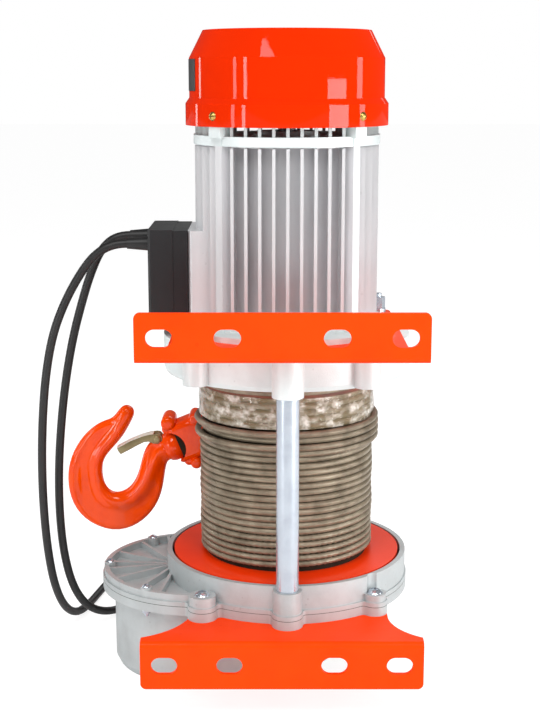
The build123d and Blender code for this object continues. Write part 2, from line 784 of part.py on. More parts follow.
def countershaft_gear():
    """Large gear driven by the motor pinion, with a webbed disc."""
    face = gear_face(counter_gear_teeth, fast_module, -profile_shift, backlash)
    z0 = counter_gear_z
    z1 = counter_gear_z + counter_gear_t
    body = plate(face, z0, z1)
    body = body - tube(58, 26, z0 - 1, z0 + 3) - tube(58, 26, z1 - 3, z1 + 1)
    body = body + cyl(20, z1 - 1, z1 + 6)
    holes = [Pos(42, 0, 0) * cyl(9, z0, z1)]
    body = cut(body, spun(holes[0], 6, 30))
    body = body - cyl(counter_shaft_r + bore_slip, z0 - 1, z1 + 10)
    turn = gear_turn(counter_gear_teeth, counter_direction + 180.0, True)
    return Pos(counter_x, counter_y, 0) * Rot(0, 0, turn) * body


def drum_gear():
    """Last gear of the train, keyed on the drum shaft."""
    face = gear_face(drum_gear_teeth, slow_module, -profile_shift, backlash)
    z0 = drum_gear_z
    z1 = drum_gear_z + drum_gear_t
    body = plate(face, z0, z1)
    body = body - tube(60, 30, z0 - 1, z0 + 5) - tube(60, 30, z1 - 5, z1 + 1)
    body = body + cyl(26, z1 - 1, z1 + 4) + cyl(26, z0 - 4, z0 + 1)
    hole = Pos(45, 0, 0) * cyl(8, z0, z1)
    body = cut(body, spun(hole, 6))
    body = body - cyl(drum_shaft_r + bore_slip, z0 - 5, z1 + 5)
    turn = gear_turn(drum_gear_teeth, counter_direction, True)
    return Rot(0, 0, turn) * body


def motor_shaft():
    """Long motor shaft through the drum, with the pinion at its lower end."""
    z_end = end_bearing_z
    z_pin = counter_gear_z - 1
    z_fan = cover_z1 + 10
    shaft = turned([
        (0, z_end), (end_bearing_bore, z_end), (end_bearing_bore, end_bearing_z + end_bearing_w),
        (motor_shaft_r, end_bearing_z + end_bearing_w), (motor_shaft_r, front_bearing_z),
        (motor_journal_r, front_bearing_z), (motor_journal_r, front_bearing_z + motor_bearing_w),
        (rotor_shaft_r, front_bearing_z + motor_bearing_w), (rotor_shaft_r, rear_bearing_z),
        (motor_journal_r, rear_bearing_z), (motor_journal_r, rear_bearing_z + motor_bearing_w),
        (motor_shaft_r, rear_bearing_z + motor_bearing_w), (motor_shaft_r, z_fan), (0, z_fan)])
    face = gear_face(pinion_teeth, fast_module, profile_shift, backlash)
    turn = gear_turn(pinion_teeth, counter_direction, False)
    pinion = Rot(0, 0, turn) * plate(face, z_pin, z_pin + counter_gear_t + 2)
    return shaft + pinion


# Motor


def fin_offsets():
    """Places of the parallel fins across one side of the motor."""
    middle = (fins_each_side - 1) / 2
    return [(i - middle) * fin_pitch for i in range(fins_each_side)]


def motor_housing_face():
    """Section of the finned housing: barrel, four sets of parallel fins, four corner ribs."""
    face = Circle(barrel_r)
    fins = []
    for offset in fin_offsets():
        reach = sqrt(motor_r ** 2 - offset ** 2)
        fin = Pos(offset, -(barrel_r * 0.6 + reach) / 2) * Rectangle(fin_t, reach - barrel_r * 0.6)
        fins.extend(Rot(0, 0, 90 * side) * fin for side in range(4))
    rib = Pos((barrel_r + corner_rib_r) / 2 - 2, 0) * Rectangle(corner_rib_r - barrel_r + 4, corner_rib_w)
    fins.extend(Rot(0, 0, 45 + 90 * side) * rib for side in range(4))
    for fin in fins:
        face = face + fin
    return face - Circle(barrel_r - barrel_wall)


def motor_housing():
    """Finned housing with the cast pad for the terminal box."""
    body = plate(motor_housing_face(), shield_top, motor_top - 1.5)
    collar = tube(barrel_r + 8, barrel_r - barrel_wall, motor_top - 1.5, motor_top)
    ribs = plate(Rot(0, 0, 45) * Rectangle(2 * corner_rib_r, corner_rib_w), motor_top - 2, motor_top)
    ribs = ribs + plate(Rot(0, 0, -45) * Rectangle(2 * corner_rib_r, corner_rib_w), motor_top - 2, motor_top)
    ribs = ribs - cyl(barrel_r - 1, motor_top - 3, motor_top + 1)
    pad = block(-pad_out, -barrel_r * 0.7, pad_y0, pad_y1, shield_top, pad_top)
    pad = fillet(pad.edges().filter_by(Axis.Z).group_by(Axis.X)[0], 4.0)
    pad = pad - cyl(barrel_r - 1, shield_top - 1, pad_top + 1)
    shape = body + collar + ribs + pad
    window = block(-pad_out - 1, -barrel_r * 0.7, -22, 22, 348, 392)
    return shape - window


def front_end_shield():
    """End shield between the bracket and the motor, with its spigot in the housing."""
    z0 = upper_plate_top
    z1 = shield_top
    disc = plate(RectangleRounded(2 * 62, 2 * 62, 20) + Circle(barrel_r + 8), z0, z1)
    disc = disc + cyl(shield_flange_r, z0, z0 + shield_flange_t)
    spigot = cyl(barrel_r - barrel_wall - bore_slip, z1 - 1, z1 + 4)
    neck = cyl(spigot_r, upper_z1, z0 + 1)
    ears = plate(Rot(0, 0, 45) * Rectangle(2 * corner_rib_r, 14) + Rot(0, 0, -45) * Rectangle(2 * corner_rib_r, 14),
                 z0, z1)
    shape = disc + spigot + neck + ears
    shape = shape - cyl(motor_bearing_outer + bore_slip, front_bearing_z, z1 + 5)
    hollow = tube(52, 30, z0 + 5, z1 + 5)
    return shape - hollow - cyl(motor_shaft_r + 2, upper_z1 - 1, z1)


def end_castellations():
    """Upright ribs that hold the fan cover off the end band, in line with the fins."""
    ribs = []
    for offset in fin_offsets():
        outer = sqrt((end_band_r - 1.5) ** 2 - offset ** 2)
        rib = block(offset - fin_t / 2, offset + fin_t / 2, -outer, -outer + 9, band_top - 0.5, cover_z0)
        ribs.extend(Rot(0, 0, 90 * side) * rib for side in range(4))
    return ribs


def rear_end_shield():
    """End shield with a castellated edge and four bosses that take the fan cover's screws."""
    z0 = motor_top
    disc = tube(end_band_r, motor_bearing_outer + bore_slip, z0, band_top)
    disc = disc - tube(end_band_r - 14, motor_bearing_outer + 10, z0 + 5, band_top + 1)
    hub = tube(motor_bearing_outer + 7, motor_bearing_outer + bore_slip, rear_bearing_z - 1, band_top + 1.0)
    cap = tube(motor_bearing_outer + 7, motor_shaft_r + 1, band_top, band_top + 3)
    web = tube(end_band_r - 13, motor_bearing_outer + 5, z0, z0 + 5)
    shape = disc + hub + cap + web
    for rib in end_castellations():
        shape = shape + rib
    boss_top = cover_z0 + cover_screw_h + 6
    boss = block(boss_in, cover_rim_r - cover_wall - seat_gap, -7, 7, band_top - 1, boss_top)
    boss = boss & cyl(cover_rim_r - cover_wall - seat_gap, band_top - 1, boss_top)
    ear = block(boss_in, corner_rib_r, -corner_rib_w / 2, corner_rib_w / 2, z0, band_top)
    screw_hole = Rot(0, 90, 0) * Cylinder(cover_thread_r, 60)
    screw_hole = Pos(boss_in + 20, 0, cover_z0 + cover_screw_h) * screw_hole
    boss = boss + ear - screw_hole
    for copy in spun(boss, 4, 45):
        shape = shape + copy
    return shape


def fan_cover():
    """Spun steel cover: rim, step, body and cone, with an intake grille on top."""
    w = cover_wall
    body = turned([
        (cover_rim_r - w, cover_z0), (cover_rim_r, cover_z0), (cover_rim_r, cover_z1),
        (cover_r, cover_z2), (cover_r, cover_z3), (cover_top_r, cover_z4), (0, cover_z4),
        (0, cover_z4 - w), (cover_top_r - w, cover_z4 - w), (cover_r - w, cover_z3 - w / 2),
        (cover_r - w, cover_z2 - w), (cover_rim_r - w, cover_z1 - w)])
    slot_len = intake_r_out - intake_r_in
    slot = Pos((intake_r_in + intake_r_out) / 2, 0, cover_z4) * extrude(
        SlotOverall(slot_len, intake_w), 3 * w, both=True)
    shape = cut(body, spun(slot, intake_slots))
    hole = Pos(cover_rim_r, 0, cover_z0 + cover_screw_h) * Rot(0, 90, 0) * Cylinder(cover_thread_r + 0.2, 10)
    return cut(shape, spun(hole, 4, 45))


def fan_cover_screws():
    """Four cross-head screws that hold the fan cover."""
    z = cover_z0 + cover_screw_h
    head_r = cover_screw_d / 2
    screw = pan_screw(0, 0, 0, head_r, 2.4, cover_thread_r - seat_gap, -10)
    turned_screw = Pos(cover_rim_r + 0.15, 0, z) * Rot(0, 90, 0) * screw
    return spun(turned_screw, 4, 45)


def cooling_fan():
    """Radial fan with straight blades on a disc."""
    z0 = cover_z1 - 4
    hub = tube(16, motor_shaft_r + bore_slip, z0, z0 + 26)
    disc = tube(fan_r, motor_shaft_r + bore_slip, z0, z0 + 2.5)
    blade = block(14, fan_r - 1, -1.2, 1.2, z0, z0 + 24)
    shape = hub + disc
    for copy in spun(blade, fan_blades):
        shape = shape + copy
    return shape


def stator_core():
    """Laminated stator ring with its slots."""
    ring = tube(stator_r, stator_in_r, stator_z0, stator_z0 + stator_length)
    slot = block(stator_in_r - 1, stator_in_r + 15, -2.2, 2.2, stator_z0 - 1, stator_z0 + stator_length + 1)
    return cut(ring, spun(slot, 24))


def stator_windings():
    """Rings of end turns above and below the stator, with the coil sides in the slots."""
    z0 = stator_z0
    z1 = stator_z0 + stator_length
    shape = tube(stator_in_r + 17, stator_in_r + 2, z0 - 16, z0 - seat_gap)
    shape = shape + tube(stator_in_r + 17, stator_in_r + 2, z1 + seat_gap, z1 + 16)
    side = block(stator_in_r + 3, stator_in_r + 14, -2.0, 2.0, z0 - 2, z1 + 2)
    for copy in spun(side, 24):
        shape = shape + copy
    return shape


def rotor():
    """Squirrel-cage rotor on the motor shaft."""
    z0 = stator_z0
    z1 = stator_z0 + stator_length
    return tube(rotor_r, rotor_shaft_r + bore_slip, z0 - 4, z1 + 4)


# Terminal box

def terminal_base():
    """Base half of the terminal box, bolted on the pad."""
    outer = block(-box_split, -pad_out - seat_gap, box_y0, box_y1, box_z0, box_z1)
    inner = block(-box_split - 1, -pad_out - box_wall, box_y0 + box_wall, box_y1 - box_wall,
                  box_z0 + box_wall, box_z1 - box_wall)
    hole = Pos(-pad_out, 0, 370) * Rot(0, 90, 0) * Cylinder(16, 20)
    return outer - inner - hole


def terminal_lid():
    """Deep lid of the terminal box, with the cable entries in its outer face."""
    x1 = -box_split - seat_gap
    outer = block(-box_out, x1, box_y0 - 0.6, box_y1 + 0.6, box_z0 - 0.6, box_z1 + 0.6)
    outer = fillet(outer.edges().filter_by(Axis.Z).group_by(Axis.X)[0], 2.5)
    inner = block(-box_out + box_wall, x1 + 1, box_y0 + box_wall, box_y1 - box_wall,
                  box_z0 + box_wall, box_z1 - box_wall)
    shape = outer - inner
    for y, z in cable_exits:
        shape = shape - Pos(-box_out, y, z) * Rot(0, 90, 0) * Cylinder(cable_d / 2 + 1.0, 20)
    return shape


def cable_gland(y, z):
    """Tapered rubber sleeve in the lid, which grips one cable."""
    foot = Pos(0, 0, -box_wall) * Cylinder(cable_d / 2 + 0.95, box_wall + 1,
                                           align=(Align.CENTER, Align.CENTER, Align.MIN))
    sleeve = Cone(cable_d / 2 + 2.5, cable_d / 2 + 0.8, gland_length,
                  align=(Align.CENTER, Align.CENTER, Align.MIN))
    return Pos(-box_out, y, z) * Rot(0, -90, 0) * (foot + sleeve)


def run_capacitor():
    """Round run capacitor lying in the lid."""
    centre = (-box_split - 4, 2, box_z0 + box_wall + 16)
    return Pos(*centre) * Rot(90, 0, 0) * Cylinder(14, 62)


# Hook and swivel block

def hook_plane():
    """Plane of the hook: x along the shank, y towards the tip, origin at the bowl's centre."""
    return Plane(origin=(bowl_x, hook_plane_y, bowl_z), x_dir=(u_dir[0], 0, u_dir[1]), z_dir=(0, -1, 0))


def hook_point(u, v, w=0.0):
    """Place in the row frame of a point given in the hook's plane."""
    p = hook_plane().from_local_coords(Vector(u, v, w))
    return (p.X, p.Y, p.Z)


def oval_section(u, v, angle, half_width, half_thick):
    """Oval section square to the hook's line, its long axis at an angle in the hook plane."""
    normal = (-sin(radians(angle)), cos(radians(angle)), 0)
    across = (cos(radians(angle)), sin(radians(angle)), 0)
    local = Plane(origin=(u, v, 0), x_dir=across, z_dir=normal)
    return local * Ellipse(half_width, half_thick)


def bowl_section(angle):
    """Section of the bowl between its inner circle and its larger outer circle."""
    a = radians(angle)
    dot = bowl_shift_u * cos(a) + bowl_shift_v * sin(a)
    off = bowl_shift_u ** 2 + bowl_shift_v ** 2
    outer = dot + sqrt(dot ** 2 - off + bowl_out_r ** 2)
    middle = (bowl_in_r + outer) / 2
    half = (outer - bowl_in_r) / 2
    thick = hook_half_t * (0.72 + 0.28 * half / 19.0)
    return oval_section(middle * cos(a), middle * sin(a), angle, half, thick)


def hook_body():
    """Forged hook: tip, bowl that thickens below the load, neck, collar and shank."""
    sections = [oval_section(u, v, angle, half, thick) for u, v, angle, half, thick in tip_sections]
    sections += [bowl_section(angle) for angle in bowl_angles]
    sections += [oval_section(u, v, angle, half, thick) for u, v, angle, half, thick in neck_sections]
    body = loft(sections)
    tip_u, tip_v, tip_angle, tip_half, tip_thick = tip_sections[0]
    tip = Pos(tip_u, tip_v, 0) * Sphere(tip_half + slip)
    shank_end = block_u0 + 18
    stem = revolve(make_face(Polyline(
        (collar_u0 - 5, 0), (collar_u0 - 5, collar_r - 4), (collar_u0, collar_r), (collar_u1 - 2, collar_r),
        (collar_u1, collar_r - 2), (collar_u1, shank_r), (shank_end, shank_r), (shank_end, 0),
        close=True)), Axis.X)
    ear = Pos(latch_u, latch_v - 3, 0) * Cylinder(6.5, 11)
    shape = body + tip + stem + ear
    shape = shape - Pos(latch_u, latch_v, 0) * Cylinder(latch_pin_r + bore_slip, 60)
    land = make_face(Polyline(*latch_land, close=True))
    sides = [Pos(0, 0, side * (latch_land_half + hook_half_t / 2)) * extrude(land, hook_half_t / 2, both=True)
             for side in (-1, 1)]
    return cut(shape, sides)


def in_hook_frame(piece):
    """A piece drawn in the hook's plane, moved to its place."""
    return hook_plane().location * piece


def swivel_block():
    """Two forged halves that hold the hook's nut and the rope's end."""
    outline = Pos((block_u0 + block_u1) / 2, 0) * RectangleRounded(block_u1 - block_u0, 2 * block_half_v, 8)
    halves = []
    for side in (-1, 1):
        halves.append(extrude(outline, side * block_half_t))
    shank_hole = Pos(block_u0 - 1, 0, 0) * Rot(0, 90, 0) * Cylinder(
        shank_r + slip, 12, align=(Align.CENTER, Align.CENTER, Align.MIN))
    nut_room = Pos(block_u0 + 8, 0, 0) * Rot(0, 90, 0) * Cylinder(
        nut_r + 1, 14, align=(Align.CENTER, Align.CENTER, Align.MIN))
    rope_hole = Pos(block_u0 + 20, 0, 0) * Rot(0, 90, 0) * Cylinder(
        rope_d / 2, 60, align=(Align.CENTER, Align.CENTER, Align.MIN))
    bolts = [Pos(u, v, 0) * Cylinder(block_bolt_r + bore_slip, 80) for u, v in block_bolts]
    return [cut(half, [shank_hole, nut_room, rope_hole] + bolts) for half in halves]


def block_fasteners():
    """Bolts through the two halves of the swivel block."""
    pieces = []
    for u, v in block_bolts:
        shank = Cylinder(block_bolt_r, 2 * block_half_t + 2 * seat_gap)
        head = Pos(0, 0, block_half_t + seat_gap) * extrude(RegularPolygon(5.5, 6, major_radius=False), 4)
        nut = Pos(0, 0, -block_half_t - seat_gap - 5) * extrude(RegularPolygon(5.5, 6, major_radius=False), 5)
        pieces.append(Pos(u, v, 0) * (shank + head + nut))
    return pieces


def hook_nut():
    """Round nut on the shank's end inside the swivel block."""
    u0 = block_u0 + 10
    nut = Pos(u0, 0, 0) * Rot(0, 90, 0) * Cylinder(nut_r, 8, align=(Align.CENTER, Align.CENTER, Align.MIN))
    return nut - Pos(u0 - 20, 0, 0) * Rot(0, 90, 0) * Cylinder(
        shank_r + bore_slip, 60, align=(Align.CENTER, Align.CENTER, Align.MIN))


def safety_latch():
    """Pressed channel on a pin, its end resting inside the hook's tip."""
    length = sqrt((latch_u - latch_end_u) ** 2 + (latch_v - latch_end_v) ** 2)
    tilt = 180.0 - degrees(asin((latch_end_v - latch_v) / length))
    cheek = make_face(Polyline((-5, -4), (-5, 5), (length, 5), (length + 1, -5), (length - 8, -3),
                               (14, -4), close=True))
    top = Pos(length / 2 + 3, 5 - latch_plate_t / 2, 0) * Box(length - 4, latch_plate_t, 2 * latch_half_w)
    sides = []
    for side in (-1, 1):
        offset = side * (latch_half_w - latch_plate_t / 2)
        sides.append(Pos(0, 0, offset - latch_plate_t / 2) * extrude(cheek, latch_plate_t))
    shape = joined([top] + sides)
    shape = shape - Cylinder(latch_pin_r + bore_slip, 60)
    return Pos(latch_u, latch_v, 0) * Rot(0, 0, tilt) * Rot(180, 0, 0) * shape


def latch_pin():
    """Riveted pin of the latch."""
    shank = Cylinder(latch_pin_r, 2 * latch_half_w + 1)
    heads = [Pos(0, 0, side * (latch_half_w + 1.5)) * Cylinder(3.6, 2) for side in (-1, 1)]
    return Pos(latch_u, latch_v, 0) * joined([shank] + heads)


def rope_tail():
    """End of the rope from the winding into the swivel block."""
    start = hook_point(block_u0 + 24, 0)
    reach = (0 - bowl_x) / u_dir[0]
    end = hook_point(reach, 0)
    return bar(start, end, rope_d / 2 - seat_gap)


# Rods and fasteners

def tie_rods():
    """Three rods between the castings, turned down to studs at both ends."""
    z_low = housing_z0 + rod_lug_top
    z_high = upper_z1 - upper_lug_drop
    rods = []
    for x, y in rod_places:
        rod = cyl(rod_d / 2, z_low + seat_gap, z_high - seat_gap, x, y)
        stud = cyl(stud_d / 2, plate_top - plate_t - 13, upper_plate_top + 13, x, y)
        rods.append(rod + stud)
    return rods


def rod_nuts():
    """Nuts on both ends of the rods."""
    nuts = []
    for x, y in rod_places:
        nuts.append(hex_nut(x, y, plate_top - plate_t - 10 - seat_gap, 19, 10, stud_d / 2 + bore_slip))
        nuts.append(hex_nut(x, y, upper_plate_top + seat_gap, 19, 10, stud_d / 2 + bore_slip))
    return nuts


def lug_screws():
    """Cross-head screws through the lower lugs into the bracket."""
    screws = []
    for (x, y, r), top in zip(lower_lugs, lower_lug_tops):
        seat = housing_z0 + top + seat_gap
        screws.append(pan_screw(x, y, seat, lug_head_r, 4.0, lug_screw_r, plate_top - plate_t - 9))
    return screws


def lug_nuts():
    """Nuts under the lower bracket on the lug screws."""
    z = plate_top - plate_t - 7 - seat_gap
    return [hex_nut(x, y, z, 13, 7, lug_screw_r + bore_slip) for x, y, r in lower_lugs]


def upper_lug_bolts():
    """Studs with nuts that hold the upper bracket on the drum housing."""
    bolts = []
    for x, y, r in upper_lugs:
        stud = cyl(lug_screw_r, upper_z1 - 20, upper_plate_top + upper_stud_tip, x, y)
        nut_z = upper_plate_top + upper_washer_t + seat_gap
        nut = hex_prism(13, nut_z, nut_z + upper_nut_h, x, y)
        bolts.append(stud + nut)
    return bolts


def upper_lug_washers():
    """Washers under the nuts of the upper bracket."""
    z0 = upper_plate_top + seat_gap
    z1 = upper_plate_top + upper_washer_t
    return [tube(8, lug_screw_r + bore_slip, z0, z1, x, y) for x, y, r in upper_lugs]


def rim_screws():
    """Small screws and nuts round the bulge of the gearbox."""
    pieces = []
    for x, y in rim_places():
        seat = housing_z0 + bulge_height + 1.5 + seat_gap
        screw = pan_screw(x, y, seat, 4.0, 2.6, rim_screw_r, plate_top - 7)
        pieces.append(screw)
        pieces.append(hex_nut(x, y, plate_top - 4 - seat_gap, rim_nut_across, 4, rim_screw_r + bore_slip))
    return pieces


# Cables: straight runs joined by arcs

def routed_tube(points, diameter):
    """Tube along a hand-chosen route, each corner an arc as large as its runs allow."""
    vectors = [Vector(*p) for p in points]
    runs = [(b - a) for a, b in zip(vectors, vectors[1:])]
    radii = []
    for before, after in zip(runs, runs[1:]):
        turn = radians(before.get_angle(after))
        radii.append(0.45 * min(before.length, after.length) / tan(turn / 2))
    print("radii", [round(r) for r in radii])
    path = FilletPolyline(*points, radius=radii)
    start = Plane(origin=points[0], z_dir=runs[0])
    tube_solid = sweep(start * Circle(diameter / 2), path=path)
    section = pi * diameter ** 2 / 4
    print("length", round(path.length), "volume ratio", round(tube_solid.volume / (section * path.length), 4))
    return tube_solid


def coil_ring(x, y, height):
    """Outer shape of a lead wound in a coil on the floor."""
    return tube(coil_out_r, coil_in_r, 0, height, x, y)


def mains_plug():
    """Moulded mains plug with two round pins, lying beside its coil."""
    x0 = mains_end_route[-1][0]
    y = mains_end_route[-1][1]
    to_left = Pos(x0, y, plug_z) * Rot(0, -90, 0)
    relief = to_left * Cone(cable_d / 2 + 1, cable_d / 2 + 3, 18, align=(Align.CENTER, Align.CENTER, Align.MIN))
    body = block(x0 - 18 - plug_length, x0 - 18, y - plug_w / 2, y + plug_w / 2, 0, 2 * plug_z)
    body = fillet(body.edges().filter_by(Axis.X), 6.0)
    pins = [Pos(x0 - 18 - plug_length, y + side * 9.5, plug_z) * Rot(0, -90, 0) * Cylinder(
        2.4, 19, align=(Align.CENTER, Align.CENTER, Align.MIN)) for side in (-1, 1)]
    return joined([body, relief] + pins)


def handset_half(z0, z1):
    """One half of the handset's shell, rounded in plan and hollow."""
    middle_x = handset_x0 + handset_length / 2
    outer = Pos(middle_x, handset_y) * RectangleRounded(handset_length, handset_w, 12)
    inner = Pos(middle_x, handset_y) * RectangleRounded(
        handset_length - 2 * handset_wall, handset_w - 2 * handset_wall, 12 - handset_wall)
    return plate(outer, z0, z1), inner


def handset_back():
    """Back half of the handset."""
    shell, inner = handset_half(0, handset_t / 2 - seat_gap)
    shell = shell - plate(inner, handset_wall, handset_t)
    return shell - handset_bore()


def handset_front():
    """Front half of the handset, with guide bores for its three keys."""
    shell, inner = handset_half(handset_t / 2, handset_t)
    shell = shell - plate(inner, 0, handset_t - handset_wall)
    for x in key_places:
        shell = shell + cyl(key_r + 3, handset_t - 8, handset_t, x, handset_y)
    for x in key_places:
        shell = shell - cyl(key_r + slip, 0, handset_t + 1, x, handset_y)
    return shell - handset_bore()


def handset_bore():
    """Hole in the handset's end wall for the cable sleeve."""
    x1 = handset_x0 + handset_length
    return Pos(x1, handset_y, handset_t / 2) * Rot(0, 90, 0) * Cylinder(cable_d / 2 + 2.5, 20)


def handset_sleeve():
    """Tapered rubber sleeve where the control cable enters the handset."""
    x_end = control_end_route[-1][0]
    x1 = handset_x0 + handset_length
    cone = Cone(cable_d / 2 + 2.4, cable_d / 2 + 0.8, x_end - x1 + handset_wall,
                align=(Align.CENTER, Align.CENTER, Align.MIN))
    return Pos(x1 - handset_wall, handset_y, handset_t / 2) * Rot(0, 90, 0) * cone


def key_cap(x):
    """Round key with a collar inside the shell that stops it falling out."""
    stem = cyl(key_r, handset_t - 8 - key_travel, handset_t + key_proud, x, handset_y)
    collar = cyl(key_r + 2, handset_t - 10 - key_travel, handset_t - 8 - seat_gap, x, handset_y)
    return stem + collar


def stop_cap(x):
    """Mushroom stop key, whose head stays clear of the shell when it is pressed."""
    z0 = handset_t + key_travel + stop_head_gap
    head = turned([(0, z0 - 2), (key_r - 0.5, z0 - 2), (key_r - 0.5, z0), (key_r + 3, z0), (key_r + 3, z0 + 3),
                   (key_r - 1, z0 + 6), (0, z0 + 6)], x, handset_y)
    return head + key_cap(x)


save("lower_bracket", lower_bracket())
save("upper_bracket", upper_bracket())
save("gear_case", gear_case())
save("gearbox_gasket", gasket())
save("gearbox_housing", gearbox_housing())
save("motor_side_drum_housing", motor_side_drum_housing())
save("drum", drum())
save("drum_shaft", drum_shaft())
save("rope_winding", rope_winding())
save("film_wrap", film_wrap())
save("paper_band", paper_band())
save("countershaft", countershaft())
save("countershaft_gear", countershaft_gear())
save("drum_gear", drum_gear())
save("motor_shaft", motor_shaft())
save("motor_housing", motor_housing())
save("front_end_shield", front_end_shield())
save("rear_end_shield", rear_end_shield())
save("fan_cover", fan_cover())
save("fan_cover_screws", *fan_cover_screws())
save("cooling_fan", cooling_fan())
save("stator_core", stator_core())
save("stator_windings", stator_windings())
save("rotor", rotor())
save("terminal_box_base", terminal_base())
save("terminal_box_lid", terminal_lid())
save("run_capacitor", run_capacitor())
save("hook", in_hook_frame(hook_body()))
save("hook_nut", in_hook_frame(hook_nut()))
save("swivel_block", *[in_hook_frame(half) for half in swivel_block()])
save("swivel_block_bolts", *[in_hook_frame(piece) for piece in block_fasteners()])
save("safety_latch", in_hook_frame(safety_latch()))
save("latch_pin", in_hook_frame(latch_pin()))
save("rope_tail", rope_tail())
save("tie_rods", *tie_rods())
save("tie_rod_nuts", *rod_nuts())
save("lug_screws", *lug_screws())
save("lug_nuts", *lug_nuts())
save("upper_lug_bolts", *upper_lug_bolts())
save("upper_lug_washers", *upper_lug_washers())
save("rim_screws", *rim_screws())
save("drum_bearings", *bearing(low_bearing_bore, low_bearing_outer, low_bearing_z, low_bearing_w),
     *bearing(low_bearing_bore, low_bearing_outer, high_bearing_z, low_bearing_w))
save("countershaft_bearings",
     *bearing(counter_journal_r, counter_bearing_outer, counter_low_z, counter_bearing_w, counter_x, counter_y),
     *bearing(counter_journal_r, counter_bearing_outer, counter_high_z, counter_bearing_w, counter_x, counter_y))
save("motor_bearings", *bearing(motor_journal_r, motor_bearing_outer, front_bearing_z, motor_bearing_w),
     *bearing(motor_journal_r, motor_bearing_outer, rear_bearing_z, motor_bearing_w),
     *bearing(end_bearing_bore, end_bearing_outer, end_bearing_z, end_bearing_w))
save("cable_glands", *[cable_gland(y, z) for y, z in cable_exits])
save("mains_cable", routed_tube(mains_route, cable_d))
save("mains_cable_coil", coil_ring(mains_coil_x, coil_y, coil_height))
save("mains_cable_end", routed_tube(mains_end_route, cable_d))
save("mains_plug", mains_plug())
save("control_cable", routed_tube(control_route, cable_d))
save("control_cable_coil", coil_ring(control_coil_x, coil_y, coil_height))
save("control_cable_end", routed_tube(control_end_route, cable_d))
save("handset_back", handset_back())
save("handset_front", handset_front())
save("handset_sleeve", handset_sleeve())
save("up_key", key_cap(key_places[0]))
save("down_key", key_cap(key_places[1]))
save("stop_key", stop_cap(key_places[2]))
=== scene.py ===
"""Visual model of an electric rope hoist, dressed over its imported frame.

Lengths are in metres, in the frame's own axes: Z up along the drum, -Y out of the bracket face.
"""

from __future__ import annotations

import json
import logging
import math
from contextlib import contextmanager
from dataclasses import dataclass
from enum import Enum
from typing import Any, Iterable, Iterator, Sequence

import bpy
from mathutils import Matrix, Vector

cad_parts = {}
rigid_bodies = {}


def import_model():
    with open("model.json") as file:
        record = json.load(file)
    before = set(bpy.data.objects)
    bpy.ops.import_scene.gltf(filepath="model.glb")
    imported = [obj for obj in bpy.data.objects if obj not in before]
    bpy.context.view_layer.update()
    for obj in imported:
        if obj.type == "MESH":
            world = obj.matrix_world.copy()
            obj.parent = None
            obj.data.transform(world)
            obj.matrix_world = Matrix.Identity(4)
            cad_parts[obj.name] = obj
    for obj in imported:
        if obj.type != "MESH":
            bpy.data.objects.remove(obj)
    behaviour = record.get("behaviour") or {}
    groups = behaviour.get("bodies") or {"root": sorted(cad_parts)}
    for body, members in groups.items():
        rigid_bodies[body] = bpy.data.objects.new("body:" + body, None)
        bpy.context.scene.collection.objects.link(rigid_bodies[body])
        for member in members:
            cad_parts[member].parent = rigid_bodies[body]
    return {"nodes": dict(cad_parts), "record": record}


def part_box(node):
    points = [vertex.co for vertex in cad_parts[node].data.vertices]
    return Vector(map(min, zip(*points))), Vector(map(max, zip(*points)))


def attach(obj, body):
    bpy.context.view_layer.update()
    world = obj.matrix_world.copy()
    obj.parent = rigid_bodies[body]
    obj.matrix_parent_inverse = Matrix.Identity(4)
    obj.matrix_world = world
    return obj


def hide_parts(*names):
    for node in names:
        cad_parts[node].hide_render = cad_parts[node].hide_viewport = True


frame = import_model()

log = logging.getLogger("hoist")

Point = tuple[float, float, float]
Colour = tuple[float, float, float]

MM = 0.001
SRGB_KNEE = 0.04045
SRGB_SLOPE = 12.92
SRGB_OFFSET = 0.055
SRGB_POWER = 2.4
MERGE_DISTANCE = 0.01 * MM
BASE_SIZE = 1.0 * MM
MOTTLE_DETAIL = 5.0
MOTTLE_ROUGHNESS = 0.62
PATCH_START = 0.42
PATCH_FULL = 0.68
GRAIN_DETAIL = 3.0
PIT_AREA_SCALE = 35.0
PIT_AREA_LEVEL = 0.55
SMOOTH_ANGLE = 35.0
EDGE_ANGLE = 40.0


class Body(Enum):
    """Moving bodies that pieces ride on."""

    FRAME = "frame"
    DRUM = "drum"
    HOOK = "hook"
    LATCH = "latch"


class Turn(Enum):
    """Way a lead is wound, seen from above."""

    LEFT = 1
    RIGHT = -1


def srgb(red: int, green: int, blue: int) -> Colour:
    """Linear colour of an 8-bit screen colour.

    Args:
        red: Red from 0 to 255.
        green: Green from 0 to 255.
        blue: Blue from 0 to 255.

    Returns:
        The colour that shades to those values.
    """
    def linear(value: int) -> float:
        """Linear value of one channel."""
        share = value / 255
        if share <= SRGB_KNEE:
            return share / SRGB_SLOPE
        return ((share + SRGB_OFFSET) / (1.0 + SRGB_OFFSET)) ** SRGB_POWER

    return linear(red), linear(green), linear(blue)


def set_inputs(node: bpy.types.Node, values: dict[str, Any]) -> None:
    """Set inputs of a node by their names."""
    for name, value in values.items():
        node.inputs[name].default_value = value


# Shader effects shared by several finishes


